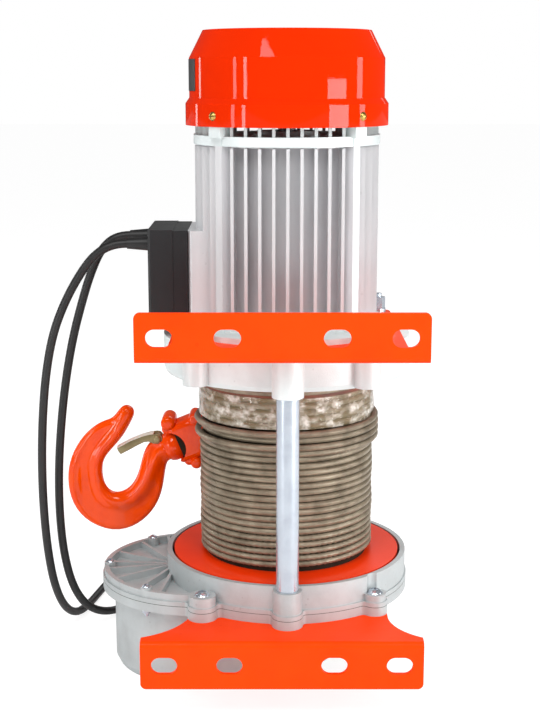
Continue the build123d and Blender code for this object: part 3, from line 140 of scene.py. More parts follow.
class EffectTree:
    """A shader node group under construction."""

    def __init__(self, name: str) -> None:
        """Start an empty group.

        Args:
            name: Name of the group.
        """
        self.tree = bpy.data.node_groups.new(name, "ShaderNodeTree")
        self.entry = self.tree.nodes.new("NodeGroupInput")
        self.exit = self.tree.nodes.new("NodeGroupOutput")

    def add_input(self, name: str, kind: str, default: Any = None) -> None:
        """Add a named input.

        Args:
            name: Name of the socket.
            kind: Socket type.
            default: Its value while nothing is linked to it.
        """
        socket = self.tree.interface.new_socket(name, in_out="INPUT", socket_type=kind)
        if default is not None:
            socket.default_value = default

    def add_output(self, name: str, kind: str) -> None:
        """Add a named output."""
        self.tree.interface.new_socket(name, in_out="OUTPUT", socket_type=kind)

    def node(self, kind: str, **settings: Any) -> bpy.types.Node:
        """Add a node and set its properties.

        Args:
            kind: Node type.
            **settings: Node properties by name.

        Returns:
            The new node.
        """
        made = self.tree.nodes.new(kind)
        for key, value in settings.items():
            setattr(made, key, value)
        return made

    def link(self, source: bpy.types.NodeSocket, target: bpy.types.NodeSocket) -> None:
        """Join two sockets."""
        self.tree.links.new(source, target)

    def math(self, operation: str, first: Any, second: Any) -> bpy.types.NodeSocket:
        """Arithmetic on two sockets or numbers.

        Args:
            operation: Name of the operation.
            first: Socket or number.
            second: Socket or number.

        Returns:
            The result's socket.
        """
        made = self.node("ShaderNodeMath", operation=operation)
        for place, value in enumerate((first, second)):
            if isinstance(value, bpy.types.NodeSocket):
                self.link(value, made.inputs[place])
            else:
                made.inputs[place].default_value = value
        return made.outputs[0]


def skin_group() -> bpy.types.NodeTree:
    """Mottled colour with a fine grain, for castings, paint, plastic and rubber.

    Returns:
        The node group.
    """
    tree = EffectTree("mottled_skin")
    tree.add_input("Vector", "NodeSocketVector")
    tree.add_input("Colour", "NodeSocketColor")
    tree.add_input("Stain", "NodeSocketColor")
    for name, default in (("Stain Share", 0.2), ("Mottle Scale", 20.0), ("Grain Scale", 800.0),
                          ("Roughness", 0.5), ("Roughness Spread", 0.1)):
        tree.add_input(name, "NodeSocketFloat", default)
    tree.add_output("Colour", "NodeSocketColor")
    for name in ("Roughness", "Height", "Patches"):
        tree.add_output(name, "NodeSocketFloat")
    source = tree.entry.outputs

    mottle = tree.node("ShaderNodeTexNoise")
    set_inputs(mottle, {"Detail": MOTTLE_DETAIL, "Roughness": MOTTLE_ROUGHNESS})
    tree.link(source["Vector"], mottle.inputs["Vector"])
    tree.link(source["Mottle Scale"], mottle.inputs["Scale"])
    patches = tree.node("ShaderNodeMapRange")
    set_inputs(patches, {"From Min": PATCH_START, "From Max": PATCH_FULL})
    tree.link(mottle.outputs["Fac"], patches.inputs["Value"])
    tree.link(patches.outputs["Result"], tree.exit.inputs["Patches"])
    share = tree.math("MULTIPLY", patches.outputs["Result"], source["Stain Share"])
    mixer = tree.node("ShaderNodeMix", data_type="RGBA")
    tree.link(share, mixer.inputs["Factor"])
    tree.link(source["Colour"], mixer.inputs["A"])
    tree.link(source["Stain"], mixer.inputs["B"])
    tree.link(mixer.outputs["Result"], tree.exit.inputs["Colour"])

    swing = tree.math("SUBTRACT", mottle.outputs["Fac"], 0.5)
    swing = tree.math("MULTIPLY", swing, source["Roughness Spread"])
    swing = tree.math("ADD", swing, source["Roughness"])
    tree.link(swing, tree.exit.inputs["Roughness"])

    grain = tree.node("ShaderNodeTexNoise")
    grain.inputs["Detail"].default_value = GRAIN_DETAIL
    tree.link(source["Vector"], grain.inputs["Vector"])
    tree.link(source["Grain Scale"], grain.inputs["Scale"])
    tree.link(grain.outputs["Fac"], tree.exit.inputs["Height"])
    return tree.tree


def speck_group() -> bpy.types.NodeTree:
    """Small dark pits or chips scattered over a surface.

    Returns:
        The node group.
    """
    tree = EffectTree("scattered_pits")
    tree.add_input("Vector", "NodeSocketVector")
    tree.add_input("Scale", "NodeSocketFloat", 150.0)
    tree.add_input("Size", "NodeSocketFloat", 0.12)
    tree.add_output("Mask", "NodeSocketFloat")
    source = tree.entry.outputs
    cells = tree.node("ShaderNodeTexVoronoi", feature="F1")
    tree.link(source["Vector"], cells.inputs["Vector"])
    tree.link(source["Scale"], cells.inputs["Scale"])
    inside = tree.math("LESS_THAN", cells.outputs["Distance"], source["Size"])
    gate = tree.node("ShaderNodeTexNoise")
    gate.inputs["Scale"].default_value = PIT_AREA_SCALE
    tree.link(source["Vector"], gate.inputs["Vector"])
    some = tree.math("GREATER_THAN", gate.outputs["Fac"], PIT_AREA_LEVEL)
    tree.link(tree.math("MULTIPLY", inside, some), tree.exit.inputs["Mask"])
    return tree.tree


class Effects:
    """The shared node groups, built once."""

    def __init__(self) -> None:
        """Build each group."""
        self.skin = skin_group()
        self.pits = speck_group()


# Finishes


@dataclass(frozen=True)
class Finish:
    """One surface finish, with its relief and its gloss."""

    slot: str
    colour: Colour
    stain: Colour
    roughness: float
    stain_share: float = 0.25
    mottle_scale: float = 18.0
    grain_scale: float = 900.0
    grain_depth: float = 0.0001
    roughness_spread: float = 0.15
    metallic: float = 0.0
    coat: float = 0.0
    coat_roughness: float = 0.08
    pit_share: float = 0.0
    pit_scale: float = 150.0
    stretch: Point = (1.0, 1.0, 1.0)
    alpha: float = 1.0
    alpha_patches: float = 1.0
    specular: float = 0.5

    def build(self, effects: Effects) -> bpy.types.Material:
        """Make the material.

        Args:
            effects: The shared node groups.

        Returns:
            The material, named after its slot.
        """
        material = bpy.data.materials.new("finish_" + self.slot)
        material.use_nodes = True
        nodes = material.node_tree.nodes
        links = material.node_tree.links
        shader = nodes["Principled BSDF"]
        set_inputs(shader, {"Metallic": self.metallic, "Coat Weight": self.coat, "Alpha": self.alpha,
                            "Coat Roughness": self.coat_roughness, "Specular IOR Level": self.specular})

        place = nodes.new("ShaderNodeTexCoord")
        mapping = nodes.new("ShaderNodeMapping")
        mapping.inputs["Scale"].default_value = self.stretch
        links.new(place.outputs["Object"], mapping.inputs["Vector"])

        skin = nodes.new("ShaderNodeGroup")
        skin.node_tree = effects.skin
        links.new(mapping.outputs["Vector"], skin.inputs["Vector"])
        set_inputs(skin, {"Colour": (*self.colour, 1.0), "Stain": (*self.stain, 1.0),
                          "Stain Share": self.stain_share, "Mottle Scale": self.mottle_scale,
                          "Grain Scale": self.grain_scale, "Roughness": self.roughness,
                          "Roughness Spread": self.roughness_spread})
        tint = skin.outputs["Colour"]
        if self.pit_share > 0.0:
            tint = self.pitted(nodes, links, effects, place.outputs["Object"], tint)
        links.new(tint, shader.inputs["Base Color"])
        links.new(skin.outputs["Roughness"], shader.inputs["Roughness"])

        if self.alpha < 1.0:
            cover = nodes.new("ShaderNodeMapRange")
            set_inputs(cover, {"To Min": self.alpha, "To Max": self.alpha_patches})
            links.new(skin.outputs["Patches"], cover.inputs["Value"])
            links.new(cover.outputs["Result"], shader.inputs["Alpha"])

        relief = nodes.new("ShaderNodeBump")
        relief.inputs["Distance"].default_value = self.grain_depth
        links.new(skin.outputs["Height"], relief.inputs["Height"])
        links.new(relief.outputs["Normal"], shader.inputs["Normal"])
        return material

    def pitted(self, nodes: bpy.types.Nodes, links: bpy.types.NodeLinks, effects: Effects,
               place: bpy.types.NodeSocket, tint: bpy.types.NodeSocket) -> bpy.types.NodeSocket:
        """Mix dark pits into the colour.

        Args:
            nodes: Nodes of the material.
            links: Links of the material.
            effects: The shared node groups.
            place: Object coordinates.
            tint: Colour so far.

        Returns:
            The colour with its pits.
        """
        pits = nodes.new("ShaderNodeGroup")
        pits.node_tree = effects.pits
        pits.inputs["Scale"].default_value = self.pit_scale
        links.new(place, pits.inputs["Vector"])
        fade = nodes.new("ShaderNodeMath")
        fade.operation = "MULTIPLY"
        fade.inputs[1].default_value = self.pit_share
        links.new(pits.outputs["Mask"], fade.inputs[0])
        mixer = nodes.new("ShaderNodeMix")
        mixer.data_type = "RGBA"
        links.new(fade.outputs[0], mixer.inputs["Factor"])
        links.new(tint, mixer.inputs["A"])
        mixer.inputs["B"].default_value = (*self.stain, 1.0)
        return mixer.outputs["Result"]


FINISHES: tuple[Finish, ...] = (
    Finish("orange_bracket", srgb(252, 67, 2), srgb(234, 50, 0), 0.45, stain_share=0.35, mottle_scale=14,
           grain_scale=420, grain_depth=0.00006, coat=0.08, coat_roughness=0.1, pit_share=0.3, pit_scale=70,
           specular=0.05),
    Finish("orange_cover", srgb(221, 43, 0), srgb(208, 34, 0), 0.42, stain_share=0.3, mottle_scale=9,
           grain_scale=260, grain_depth=0.00003, coat=0.45, coat_roughness=0.02, specular=0.0),
    Finish("orange_forging", srgb(255, 78, 0), srgb(232, 50, 0), 0.42, stain_share=0.5, mottle_scale=45,
           grain_scale=120, grain_depth=0.0006, coat=0.8, coat_roughness=0.03, pit_share=0.3, pit_scale=60,
           specular=0.0),
    Finish("cast_alloy", srgb(186, 192, 193), srgb(144, 146, 146), 0.48, stain_share=0.35, mottle_scale=26,
           grain_scale=1100, grain_depth=0.00022, metallic=0.3, pit_share=0.35, pit_scale=130),
    Finish("machined_alloy", srgb(222, 222, 222), srgb(186, 186, 188), 0.32, mottle_scale=30,
           grain_scale=120, grain_depth=0.00006, metallic=0.6, stretch=(1.0, 1.0, 18.0)),
    Finish("zinc_steel", srgb(196, 204, 214), srgb(150, 158, 170), 0.24, stain_share=0.35, mottle_scale=60,
           grain_scale=700, grain_depth=0.00005, metallic=0.75),
    Finish("yellow_zinc", srgb(156, 142, 104), srgb(112, 98, 66), 0.36, stain_share=0.5, mottle_scale=70,
           grain_scale=800, grain_depth=0.00004, metallic=0.45),
    Finish("brass_screw", srgb(206, 172, 96), srgb(126, 96, 46), 0.26, mottle_scale=90,
           grain_depth=0.00004, metallic=0.9),
    Finish("wire_rope", srgb(148, 136, 116), srgb(78, 66, 48), 0.4, stain_share=0.6, mottle_scale=55,
           grain_scale=1600, grain_depth=0.00012, metallic=0.35, roughness_spread=0.3),
    Finish("gear_steel", srgb(150, 150, 154), srgb(96, 94, 92), 0.36, mottle_scale=40, metallic=0.9,
           grain_depth=0.00004),
    Finish("bearing_steel", srgb(188, 188, 192), srgb(140, 140, 146), 0.2, mottle_scale=50, metallic=1.0,
           grain_depth=0.00002),
    Finish("core_iron", srgb(96, 96, 100), srgb(60, 58, 56), 0.5, mottle_scale=30, grain_scale=90,
           grain_depth=0.0002, metallic=0.5, stretch=(1.0, 1.0, 14.0)),
    Finish("winding_copper", srgb(176, 96, 52), srgb(110, 52, 26), 0.34, mottle_scale=60, grain_scale=260,
           grain_depth=0.0005, metallic=0.6, coat=0.4, stretch=(1.0, 1.0, 0.2)),
    Finish("brown_paper", srgb(122, 66, 42), srgb(70, 34, 20), 0.5, stain_share=0.7, mottle_scale=40,
           grain_scale=500, grain_depth=0.0002),
    Finish("black_plastic", srgb(24, 24, 26), srgb(36, 36, 38), 0.42, stain_share=0.3, mottle_scale=24,
           grain_scale=1500, grain_depth=0.00008, roughness_spread=0.1),
    Finish("fan_plastic", srgb(30, 28, 30), srgb(44, 42, 44), 0.45, mottle_scale=30),
    Finish("cable_rubber", srgb(24, 24, 25), srgb(44, 43, 42), 0.45, stain_share=0.4, mottle_scale=40,
           grain_scale=1200, grain_depth=0.00005),
    Finish("capacitor_shell", srgb(226, 226, 222), srgb(200, 200, 194), 0.32, mottle_scale=20),
    Finish("seal_paper", srgb(96, 104, 98), srgb(62, 66, 62), 0.7, mottle_scale=50),
    Finish("key_green", srgb(30, 122, 60), srgb(18, 96, 44), 0.35, mottle_scale=40, grain_depth=0.00003),
    Finish("key_red", srgb(202, 24, 20), srgb(168, 14, 12), 0.32, mottle_scale=40, grain_depth=0.00003),
    # Olive where the rope shows through the film; the whiter, more opaque patches are partly whitish folds
    # of film and partly painted glare on the crumples.
    Finish("clear_film", srgb(152, 132, 84), srgb(250, 246, 236), 0.1, stain_share=1.0, mottle_scale=120,
           grain_scale=150, grain_depth=0.0016, alpha=0.36, alpha_patches=0.8, coat=1.0, coat_roughness=0.03,
           stretch=(0.7, 0.7, 1.0)),
)


@dataclass(frozen=True)
class SpecialFinish:
    """A finish of its own for some nodes or pieces that share a slot with others."""

    nodes: tuple[str, ...]
    finish: Finish


SPECIAL_FINISHES: tuple[SpecialFinish, ...] = (
    SpecialFinish(("motor_housing",), Finish(
        "extruded_fins", srgb(222, 223, 225), srgb(180, 179, 180), 0.4, stain_share=0.3, mottle_scale=16,
        grain_scale=500, grain_depth=0.00012, metallic=0.3, pit_share=0.2, pit_scale=90,
        stretch=(1.0, 1.0, 0.3))),
    # Their faint blue-green tint is painted against the orange light that the brackets bounce onto them.
    SpecialFinish(("motor_side_drum_housing", "rear_end_shield", "front_end_shield"), Finish(
        "bright_casting", srgb(222, 231, 231), srgb(184, 190, 190), 0.46, stain_share=0.3, mottle_scale=22,
        grain_scale=1000, grain_depth=0.0002, metallic=0.2, pit_share=0.3, pit_scale=120)),
    # The latch's back is painted near white, as the reflection of the bright surroundings on its top.
    SpecialFinish(("latch_back",), Finish(
        "zinc_painted_reflection", srgb(250, 248, 236), srgb(220, 214, 188), 0.42, stain_share=0.4, mottle_scale=60,
        grain_depth=0.00004, metallic=0.1)),
    # Near-black finish painted as the shade between the rope's turns and as the shadow in the block's
    # socket.
    SpecialFinish(("rope_under_layer_painted_shade", "socket_painted_shadow"), Finish(
        "rope_shadow", srgb(46, 38, 28), srgb(26, 20, 14), 0.7, stain_share=0.6, mottle_scale=60,
        grain_depth=0.0001, specular=0.1)),
    SpecialFinish(("drum",), Finish(
        "drum_paint", srgb(250, 60, 6), srgb(232, 44, 2), 0.3, stain_share=0.3, mottle_scale=12,
        grain_scale=420, grain_depth=0.00004, coat=0.4, coat_roughness=0.08, specular=0.15)),
)


class Wardrobe:
    """All materials of the hoist by slot name."""

    def __init__(self) -> None:
        """Build each finish once."""
        effects = Effects()
        self.materials = {finish.slot: finish.build(effects) for finish in FINISHES}
        self.special: dict[str, bpy.types.Material] = {}
        for special in SPECIAL_FINISHES:
            self.special.update(dict.fromkeys(special.nodes, special.finish.build(effects)))

    def dress_nodes(self) -> None:
        """Give every carried-over node the finish that its slot names."""
        slots = {part["node"]: part["material_slot"] for part in frame["record"]["subparts"]}
        for name, node in frame["nodes"].items():
            node.data.materials.clear()
            node.data.materials.append(self.special.get(name, self.materials[slots[name]]))

    def dress(self, piece: bpy.types.Object, slot: str) -> None:
        """Give a new piece the finish of the given slot.

        Args:
            piece: The piece.
            slot: Slot of the record that its finish comes from.
        """
        piece.data.materials.clear()
        piece.data.materials.append(self.special.get(piece.name, self.materials[slot]))

    def fit(self, piece: bpy.types.Object, slot: str, body: Body, *nodes: str) -> None:
        """Dress a piece, let it ride on a body and stand for the nodes that it shows.

        Args:
            piece: The piece.
            slot: Slot of the record that its finish comes from.
            body: Body that it moves with.
            *nodes: Nodes that it replaces.
        """
        self.dress(piece, slot)
        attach(piece, body.value)
        if nodes:
            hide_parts(*nodes)


# Modelling by operators


def clear_selection() -> None:
    """Deselect every object."""
    for item in bpy.context.view_layer.objects:
        item.select_set(False)


def take(piece: bpy.types.Object) -> None:
    """Make a piece the only selected and the active one.

    Args:
        piece: The piece.
    """
    clear_selection()
    piece.select_set(True)
    bpy.context.view_layer.objects.active = piece


def named(piece: bpy.types.Object, name: str) -> bpy.types.Object:
    """Name a piece and its data.

    Args:
        piece: The piece.
        name: Its name.

    Returns:
        The same piece.
    """
    piece.name = name
    piece.data.name = name
    return piece


def settle(piece: bpy.types.Object) -> None:
    """Put a piece's place into its mesh."""
    take(piece)
    bpy.ops.object.transform_apply(location=True, rotation=True, scale=True)


def apply_modifiers(piece: bpy.types.Object) -> None:
    """Apply all modifiers of a piece in order.

    Args:
        piece: The piece.
    """
    take(piece)
    for modifier in list(piece.modifiers):
        bpy.ops.object.modifier_apply(modifier=modifier.name)


def smooth(piece: bpy.types.Object, degrees: float = SMOOTH_ANGLE) -> None:
    """Shade smooth across edges flatter than an angle."""
    take(piece)
    bpy.ops.object.shade_smooth_by_angle(angle=math.radians(degrees))


@contextmanager
def editing(select: str = "") -> Iterator[None]:
    """Edit mode on the active piece, left again at the end.

    Args:
        select: Action on the whole selection first, or nothing.

    Yields:
        Nothing.
    """
    bpy.ops.object.mode_set(mode="EDIT")
    if select:
        bpy.ops.mesh.select_all(action=select)
    yield
    bpy.ops.object.mode_set(mode="OBJECT")


def face_out(piece: bpy.types.Object) -> None:
    """Merge doubled vertices and turn all faces outwards.

    Args:
        piece: The piece.
    """
    take(piece)
    with editing("SELECT"):
        bpy.ops.mesh.remove_doubles(threshold=MERGE_DISTANCE)
        bpy.ops.mesh.normals_make_consistent(inside=False)


def extrude(*move: float) -> None:
    """Extrude the selected faces in edit mode by a move in metres."""
    bpy.ops.mesh.extrude_region_move(TRANSFORM_OT_translate={"value": move})


def round_edges(piece: bpy.types.Object, width: float, segments: int) -> None:
    """Round the edges of a piece with an applied bevel.

    Args:
        piece: The piece.
        width: Width of the rounding in metres.
        segments: Segments across it.
    """
    edges = piece.modifiers.new("rounded edges", "BEVEL")
    edges.width = width
    edges.segments = segments
    apply_modifiers(piece)


def flat_start(name: str, corners: int, radius: float = BASE_SIZE) -> bpy.types.Object:
    """Flat filled ring of corners, to be shaped and extruded.

    Args:
        name: Name of the piece.
        corners: Number of corners.
        radius: Its radius in metres.

    Returns:
        The piece.
    """
    clear_selection()
    bpy.ops.mesh.primitive_circle_add(vertices=corners, radius=radius, fill_type="NGON")
    piece = named(bpy.context.active_object, name)
    settle(piece)
    return piece


def link_curve(name: str, curve: bpy.types.Curve) -> bpy.types.Object:
    """Put a curve in the scene as an object.

    Args:
        name: Name of the object.
        curve: Its data.

    Returns:
        The object.
    """
    piece = bpy.data.objects.new(name, curve)
    bpy.context.scene.collection.objects.link(piece)
    return piece


def round_bar(name: str, radius: float, length: float, place: Vector, sides: int,
              turn: float = 0.0) -> bpy.types.Object:
    """Plain round bar, upright or turned about X.

    Args:
        name: Name of the piece.
        radius: Its radius in metres.
        length: Its length in metres.
        place: Its middle in metres.
        sides: Number of its sides.
        turn: Turn about X in degrees.

    Returns:
        The piece.
    """
    clear_selection()
    bpy.ops.mesh.primitive_cylinder_add(vertices=sides, radius=radius, depth=length, location=place,
                                        rotation=(math.radians(turn), 0.0, 0.0))
    piece = named(bpy.context.active_object, name)
    settle(piece)
    return piece


# Cords


@dataclass
class Coil:
    """Put-away turns of a lead, wound in two layers on the floor."""

    centre: tuple[float, float]
    turn: Turn
    stages: Sequence[tuple[float, float, float]]
    points_each_turn: int = 16

    def points(self) -> list[Point]:
        """Control points of the turns.

        Returns:
            Points in millimetres, from the first stage to the last. Each stage is an angle in
            degrees, a radius and a height, and the line runs evenly from one to the next.
        """
        step = 360.0 / self.points_each_turn
        # the spline runs inside its control points, so they stand a little further out
        swell = 1.0 / math.cos(math.radians(step / 2)) ** 2
        found: list[Point] = []
        for (a0, r0, z0), (a1, r1, z1) in zip(self.stages, self.stages[1:]):
            count = max(1, round(abs(a1 - a0) / step))
            for i in range(count):
                share = i / count
                angle = math.radians(self.turn.value * (a0 + (a1 - a0) * share))
                radius = (r0 + (r1 - r0) * share) * swell
                found.append((self.centre[0] + radius * math.cos(angle),
                              self.centre[1] + radius * math.sin(angle),
                              z0 + (z1 - z0) * share))
        return found


@dataclass
class Lead:
    """One rubber lead, from its gland over the floor to what is on its end."""

    name: str
    exit: Point
    route: Sequence[Point]
    coil: Coil
    ending: Sequence[Point]
    length: float
    far_end: str
    replaced: Sequence[str]
    carried: Sequence[str]
    diameter: float = 8.0
    side_steps: int = 5
    run_steps: int = 6

    def build(self, wardrobe: Wardrobe) -> None:
        """Args:
            wardrobe: Materials.
        """
        points = [*self.route, *self.coil.points(), *self.ending]
        curve = bpy.data.curves.new(self.name, "CURVE")
        curve.dimensions = "3D"
        curve.bevel_depth = self.diameter / 2 * MM
        curve.bevel_resolution = self.side_steps
        curve.use_fill_caps = True
        spline = curve.splines.new("NURBS")
        spline.points.add(len(points) - 1)
        for knot, (x, y, z) in zip(spline.points, points):
            knot.co = (x * MM, y * MM, z * MM, 1.0)
        spline.order_u = 3
        spline.use_endpoint_u = True
        spline.resolution_u = self.run_steps
        piece = link_curve(self.name, curve)
        wardrobe.fit(piece, "cable_rubber", Body.FRAME, *self.replaced)
        log.info("%s with %d points", self.name, len(points))


@dataclass
class Leads:
    """The mains lead with its plug and the control lead with its handset."""

    floor: float = 4.2
    upper_layer: float = 12.3
    gland_end: float = -144.0

    def mains(self) -> Lead:
        """Mains lead, down the side and round behind to its plug.

        Returns:
            The lead.
        """
        floor = self.floor
        top = self.upper_layer
        route = (
            (self.gland_end, 10, 402), (-156, 10, 402), (-171, 11, 390), (-182, 12, 366), (-191, 13, 338),
            (-200, 14, 306), (-208, 15, 266), (-214, 16, 222), (-218, 18, 176), (-219, 21, 132),
            (-217, 26, 90), (-211, 36, 52), (-200, 52, 24), (-184, 74, 8), (-163, 101, floor),
            (-138, 126, floor + 0.1), (-108, 142, floor), (-76, 147, floor))
        coil = Coil((-45, 192), Turn.LEFT, (
            (258, 48, floor), (590, 48, floor), (650, 40, floor), (960, 40, floor), (1020, 40, top),
            (1330, 40, top), (1390, 46, top), (1520, 47, top)))
        ending = ((-59, 236, top + 0.3), (-70, 240, 13), (-82, 242, 14), (-95, 242, 14))
        return Lead("mains_lead", route[0], route, coil, ending, 1640, "plug",
                    ("mains_cable", "mains_cable_coil", "mains_cable_end"), ("mains_plug", "cable_glands"))

    def control(self) -> Lead:
        """Control lead, down the side and round behind to the handset.

        Returns:
            The lead.
        """
        floor = self.floor
        top = self.upper_layer
        route = (
            (self.gland_end, -20, 398), (-157, -20, 398), (-175, -20.5, 387), (-190, -20, 366),
            (-203, -20, 342), (-214, -19, 314), (-222, -16, 276), (-227, -12, 232), (-230, -6, 186),
            (-231, 2, 140), (-230, 12, 96), (-227, 26, 56), (-221, 46, 25), (-213, 72, 8),
            (-205, 104, floor), (-197, 146, floor + 0.1), (-188, 190, floor), (-170, 236, floor + 0.1),
            (-135, 276, floor), (-88, 296, floor + 0.1), (-36, 294, floor), (6, 276, floor + 0.1),
            (32, 252, floor))
        coil = Coil((62, 192), Turn.RIGHT, (
            (-105, 48, floor), (200, 48, floor), (262, 40, floor), (560, 40, floor), (620, 43, top),
            (725, 46, top)))
        ending = ((107, 176, top), (104, 156, 10), (97, 136, 9), (84, 110, 14), (78, 108, 16), (64, 108, 16))
        return Lead("control_lead", route[0], route, coil, ending, 1600, "tool",
                    ("control_cable", "control_cable_coil", "control_cable_end"),
                    ("handset_sleeve", "handset_back", "handset_front"))

    def build(self, wardrobe: Wardrobe) -> None:
        """Draw both leads."""
        self.mains().build(wardrobe)
        self.control().build(wardrobe)


# Rope


@dataclass
class RopeWork:
    """Stranded wire rope wound on the drum."""

    rope_radius: float = 3.0
    strands: int = 6
    lobe_depth: float = 0.32
    lay: float = 40.0
    pitch: float = 6.2
    turns: int = 27
    centre_radius: float = 78.0
    loose_radius: float = 83.0
    loose_turns: tuple[int, ...] = (18, 20)
    slack_span: float = 0.9
    slack_ease: float = 0.35
    steps_each_turn: int = 90
    wobble: float = 0.35
    wobble_waves: tuple[float, float] = (1.7, 0.9)
    drift: float = 0.12
    drift_wave: float = 2.3
    points_each_strand: int = 3
    under_depth: float = 2.2
    under_sides: int = 96
    smooth_angle: float = 60.0

    def section(self) -> bpy.types.Object:
        """Lobed outline of the rope, as a flat closed curve.

        Returns:
            The curve object, to be swept along a rope's line.
        """
        count = self.strands * self.points_each_strand
        curve = bpy.data.curves.new("rope_section", "CURVE")
        curve.dimensions = "2D"
        spline = curve.splines.new("POLY")
        spline.points.add(count - 1)
        for i, knot in enumerate(spline.points):
            angle = 2 * math.pi * i / count
            dip = self.lobe_depth if i % self.points_each_strand == 0 else 0.0
            radius = (self.rope_radius - dip) * MM
            knot.co = (radius * math.cos(angle), radius * math.sin(angle), 0.0, 1.0)
        spline.use_cyclic_u = True
        return link_curve("rope_section", curve)

    def sweep(self, name: str, line: Sequence[Vector]) -> bpy.types.Object:
        """Twist the lobed outline along a line.

        Args:
            name: Name of the piece.
            line: Points in millimetres.

        Returns:
            The rope as a mesh.
        """
        section = self.section()
        curve = bpy.data.curves.new(name, "CURVE")
        curve.dimensions = "3D"
        curve.bevel_mode = "OBJECT"
        curve.bevel_object = section
        curve.use_fill_caps = True
        spline = curve.splines.new("POLY")
        spline.points.add(len(line) - 1)
        run = 0.0
        for i, knot in enumerate(spline.points):
            if i > 0:
                run += (line[i] - line[i - 1]).length
            knot.co = (*(line[i] * MM), 1.0)
            knot.tilt = 2 * math.pi * run / self.lay
        take(link_curve(name, curve))
        bpy.ops.object.convert(target="MESH")
        piece = bpy.context.active_object
        bpy.data.objects.remove(section)
        face_out(piece)
        smooth(piece, self.smooth_angle)
        return named(piece, name)

    def winding_line(self) -> list[Vector]:
        """Line of the rope's outer layer on the drum, in millimetres.

        Returns:
            The points, from the lowest turn to the highest.
        """
        low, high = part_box("rope_winding")
        start = low.z / MM + self.rope_radius
        rise = (high.z - low.z) / MM - 2 * self.rope_radius
        count = self.turns * self.steps_each_turn
        found = []
        for i in range(count + 1):
            turn = i / self.steps_each_turn
            angle = 2 * math.pi * turn
            sway = math.sin(self.wobble_waves[0] * turn + self.wobble_waves[1] * angle)
            radius = self.centre_radius + self.slack(turn) + self.wobble * sway
            height = start + rise * min(1.0, turn / self.turns)
            height += self.drift * math.sin(self.drift_wave * turn)
            found.append(Vector((radius * math.cos(angle), radius * math.sin(angle), height)))
        return found

    def under_layer(self) -> bpy.types.Object:
        """Layer of rope under the outer one, as a plain sleeve seen only between the turns, painted near
        black as the shade there.

        Returns:
            The piece.
        """
        low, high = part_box("rope_winding")
        middle = Vector((0.0, 0.0, (low.z + high.z) / 2))
        piece = round_bar("rope_under_layer_painted_shade", (self.centre_radius - self.under_depth) * MM, high.z - low.z,
                          middle, self.under_sides)
        smooth(piece)
        return piece

    def slack(self, turn: float) -> float:
        """How far the rope stands off the drum, in millimetres.

        Args:
            turn: Turns from the rope's lowest point.

        Returns:
            The distance, eased in and out round each loose turn.
        """
        for loose in self.loose_turns:
            away = abs(turn - loose - 0.5)
            share = min(1.0, max(0.0, (self.slack_span - away) / self.slack_ease))
            if share > 0.0:
                return (self.loose_radius - self.centre_radius) * share * share * (3.0 - 2.0 * share)
        return 0.0

    def build(self, wardrobe: Wardrobe) -> None:
        """Lay the rope on the drum.

        Args:
            wardrobe: Materials.
        """
        winding = self.sweep("rope_on_drum", self.winding_line())
        # The under layer is dressed in painted shade by its name.
        for piece in (winding, self.under_layer()):
            wardrobe.fit(piece, "wire_rope", Body.DRUM, "rope_winding")
        log.info("rope on the drum: %d faces", len(winding.data.polygons))


# Packing round the top turns


@dataclass
class Packing:
    """Crumpled clear film round the top turns of the rope."""

    crumple: float = 2.4
    crumple_size: float = 9.0
    crumple_depth: int = 2
    crumple_level: float = 0.75
    stand_off: float = 1.5
    sides: int = 192
    rows: int = 2
    smooth_angle: float = 50.0

    def film(self) -> bpy.types.Object:
        """Thin crumpled sleeve in the place of the film's node.

        Returns:
            The piece.
        """
        low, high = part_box("film_wrap")
        radius = (high.x - low.x) / 2 + self.stand_off * MM
        clear_selection()
        bpy.ops.mesh.primitive_cylinder_add(vertices=self.sides, radius=radius, depth=high.z - low.z,
                                            end_fill_type="NOTHING", location=(0, 0, (low.z + high.z) / 2))
        piece = named(bpy.context.active_object, "crumpled_film")
        settle(piece)
        with editing("SELECT"):
            bpy.ops.mesh.subdivide(number_cuts=1)
        finer = piece.modifiers.new("finer", "SUBSURF")
        finer.subdivision_type = "SIMPLE"
        finer.levels = finer.render_levels = self.rows
        clouds = bpy.data.textures.new("film_crumples", "CLOUDS")
        clouds.noise_scale = self.crumple_size * MM
        clouds.noise_depth = self.crumple_depth
        wrinkle = piece.modifiers.new("crumples", "DISPLACE")
        wrinkle.texture = clouds
        wrinkle.texture_coords = "LOCAL"
        wrinkle.mid_level = self.crumple_level
        wrinkle.strength = self.crumple * MM
        apply_modifiers(piece)
        smooth(piece, self.smooth_angle)
        return piece

    def build(self, wardrobe: Wardrobe) -> None:
        """Wrap the film.

        Args:
            wardrobe: Materials.
        """
        film = self.film()
        wardrobe.fit(film, "clear_film", Body.DRUM, "film_wrap")
        log.info("film: %d faces", len(film.data.polygons))


# Hook


@dataclass(frozen=True)
class HookStation:
    """One section of the hook, in millimetres in its own plane.

    The section runs from the edge of the mouth to the outer edge. Its round bead lies along the
    mouth, its flat web outside that, and flats beside the latch are as deep as ear_depth.
    """

    mouth: tuple[float, float]
    outer: tuple[float, float]
    bead: float
    web: float
    lip: float = 0.0
    ear_depth: float = 0.0
    lip_place: float = 1.4
    lip_width: float = 1.5
    ear_thickness: float = 5.6

    def half_thickness(self, depth: float, width: float) -> float:
        """Half the thickness at a depth from the mouth's edge.

        Args:
            depth: Distance from the edge of the mouth.
            width: Distance from there to the outer edge.

        Returns:
            The larger of the bead's and the web's half thickness, thinner beside the latch.
        """
        bead = math.sqrt(max(0.0, self.bead ** 2 - (depth - self.bead) ** 2))
        web = 0.0
        if depth > self.bead:
            past = min(1.0, max(0.0, (depth - width + self.web) / self.web))
            web = self.web * math.sqrt(1.0 - past ** 2)
            web += self.lip * math.exp(-((width - depth - self.lip_place * self.web) / self.lip_width) ** 2)
        thickness = max(bead, web)
        if depth < self.ear_depth:
            thickness = min(thickness, self.ear_thickness)
        return thickness


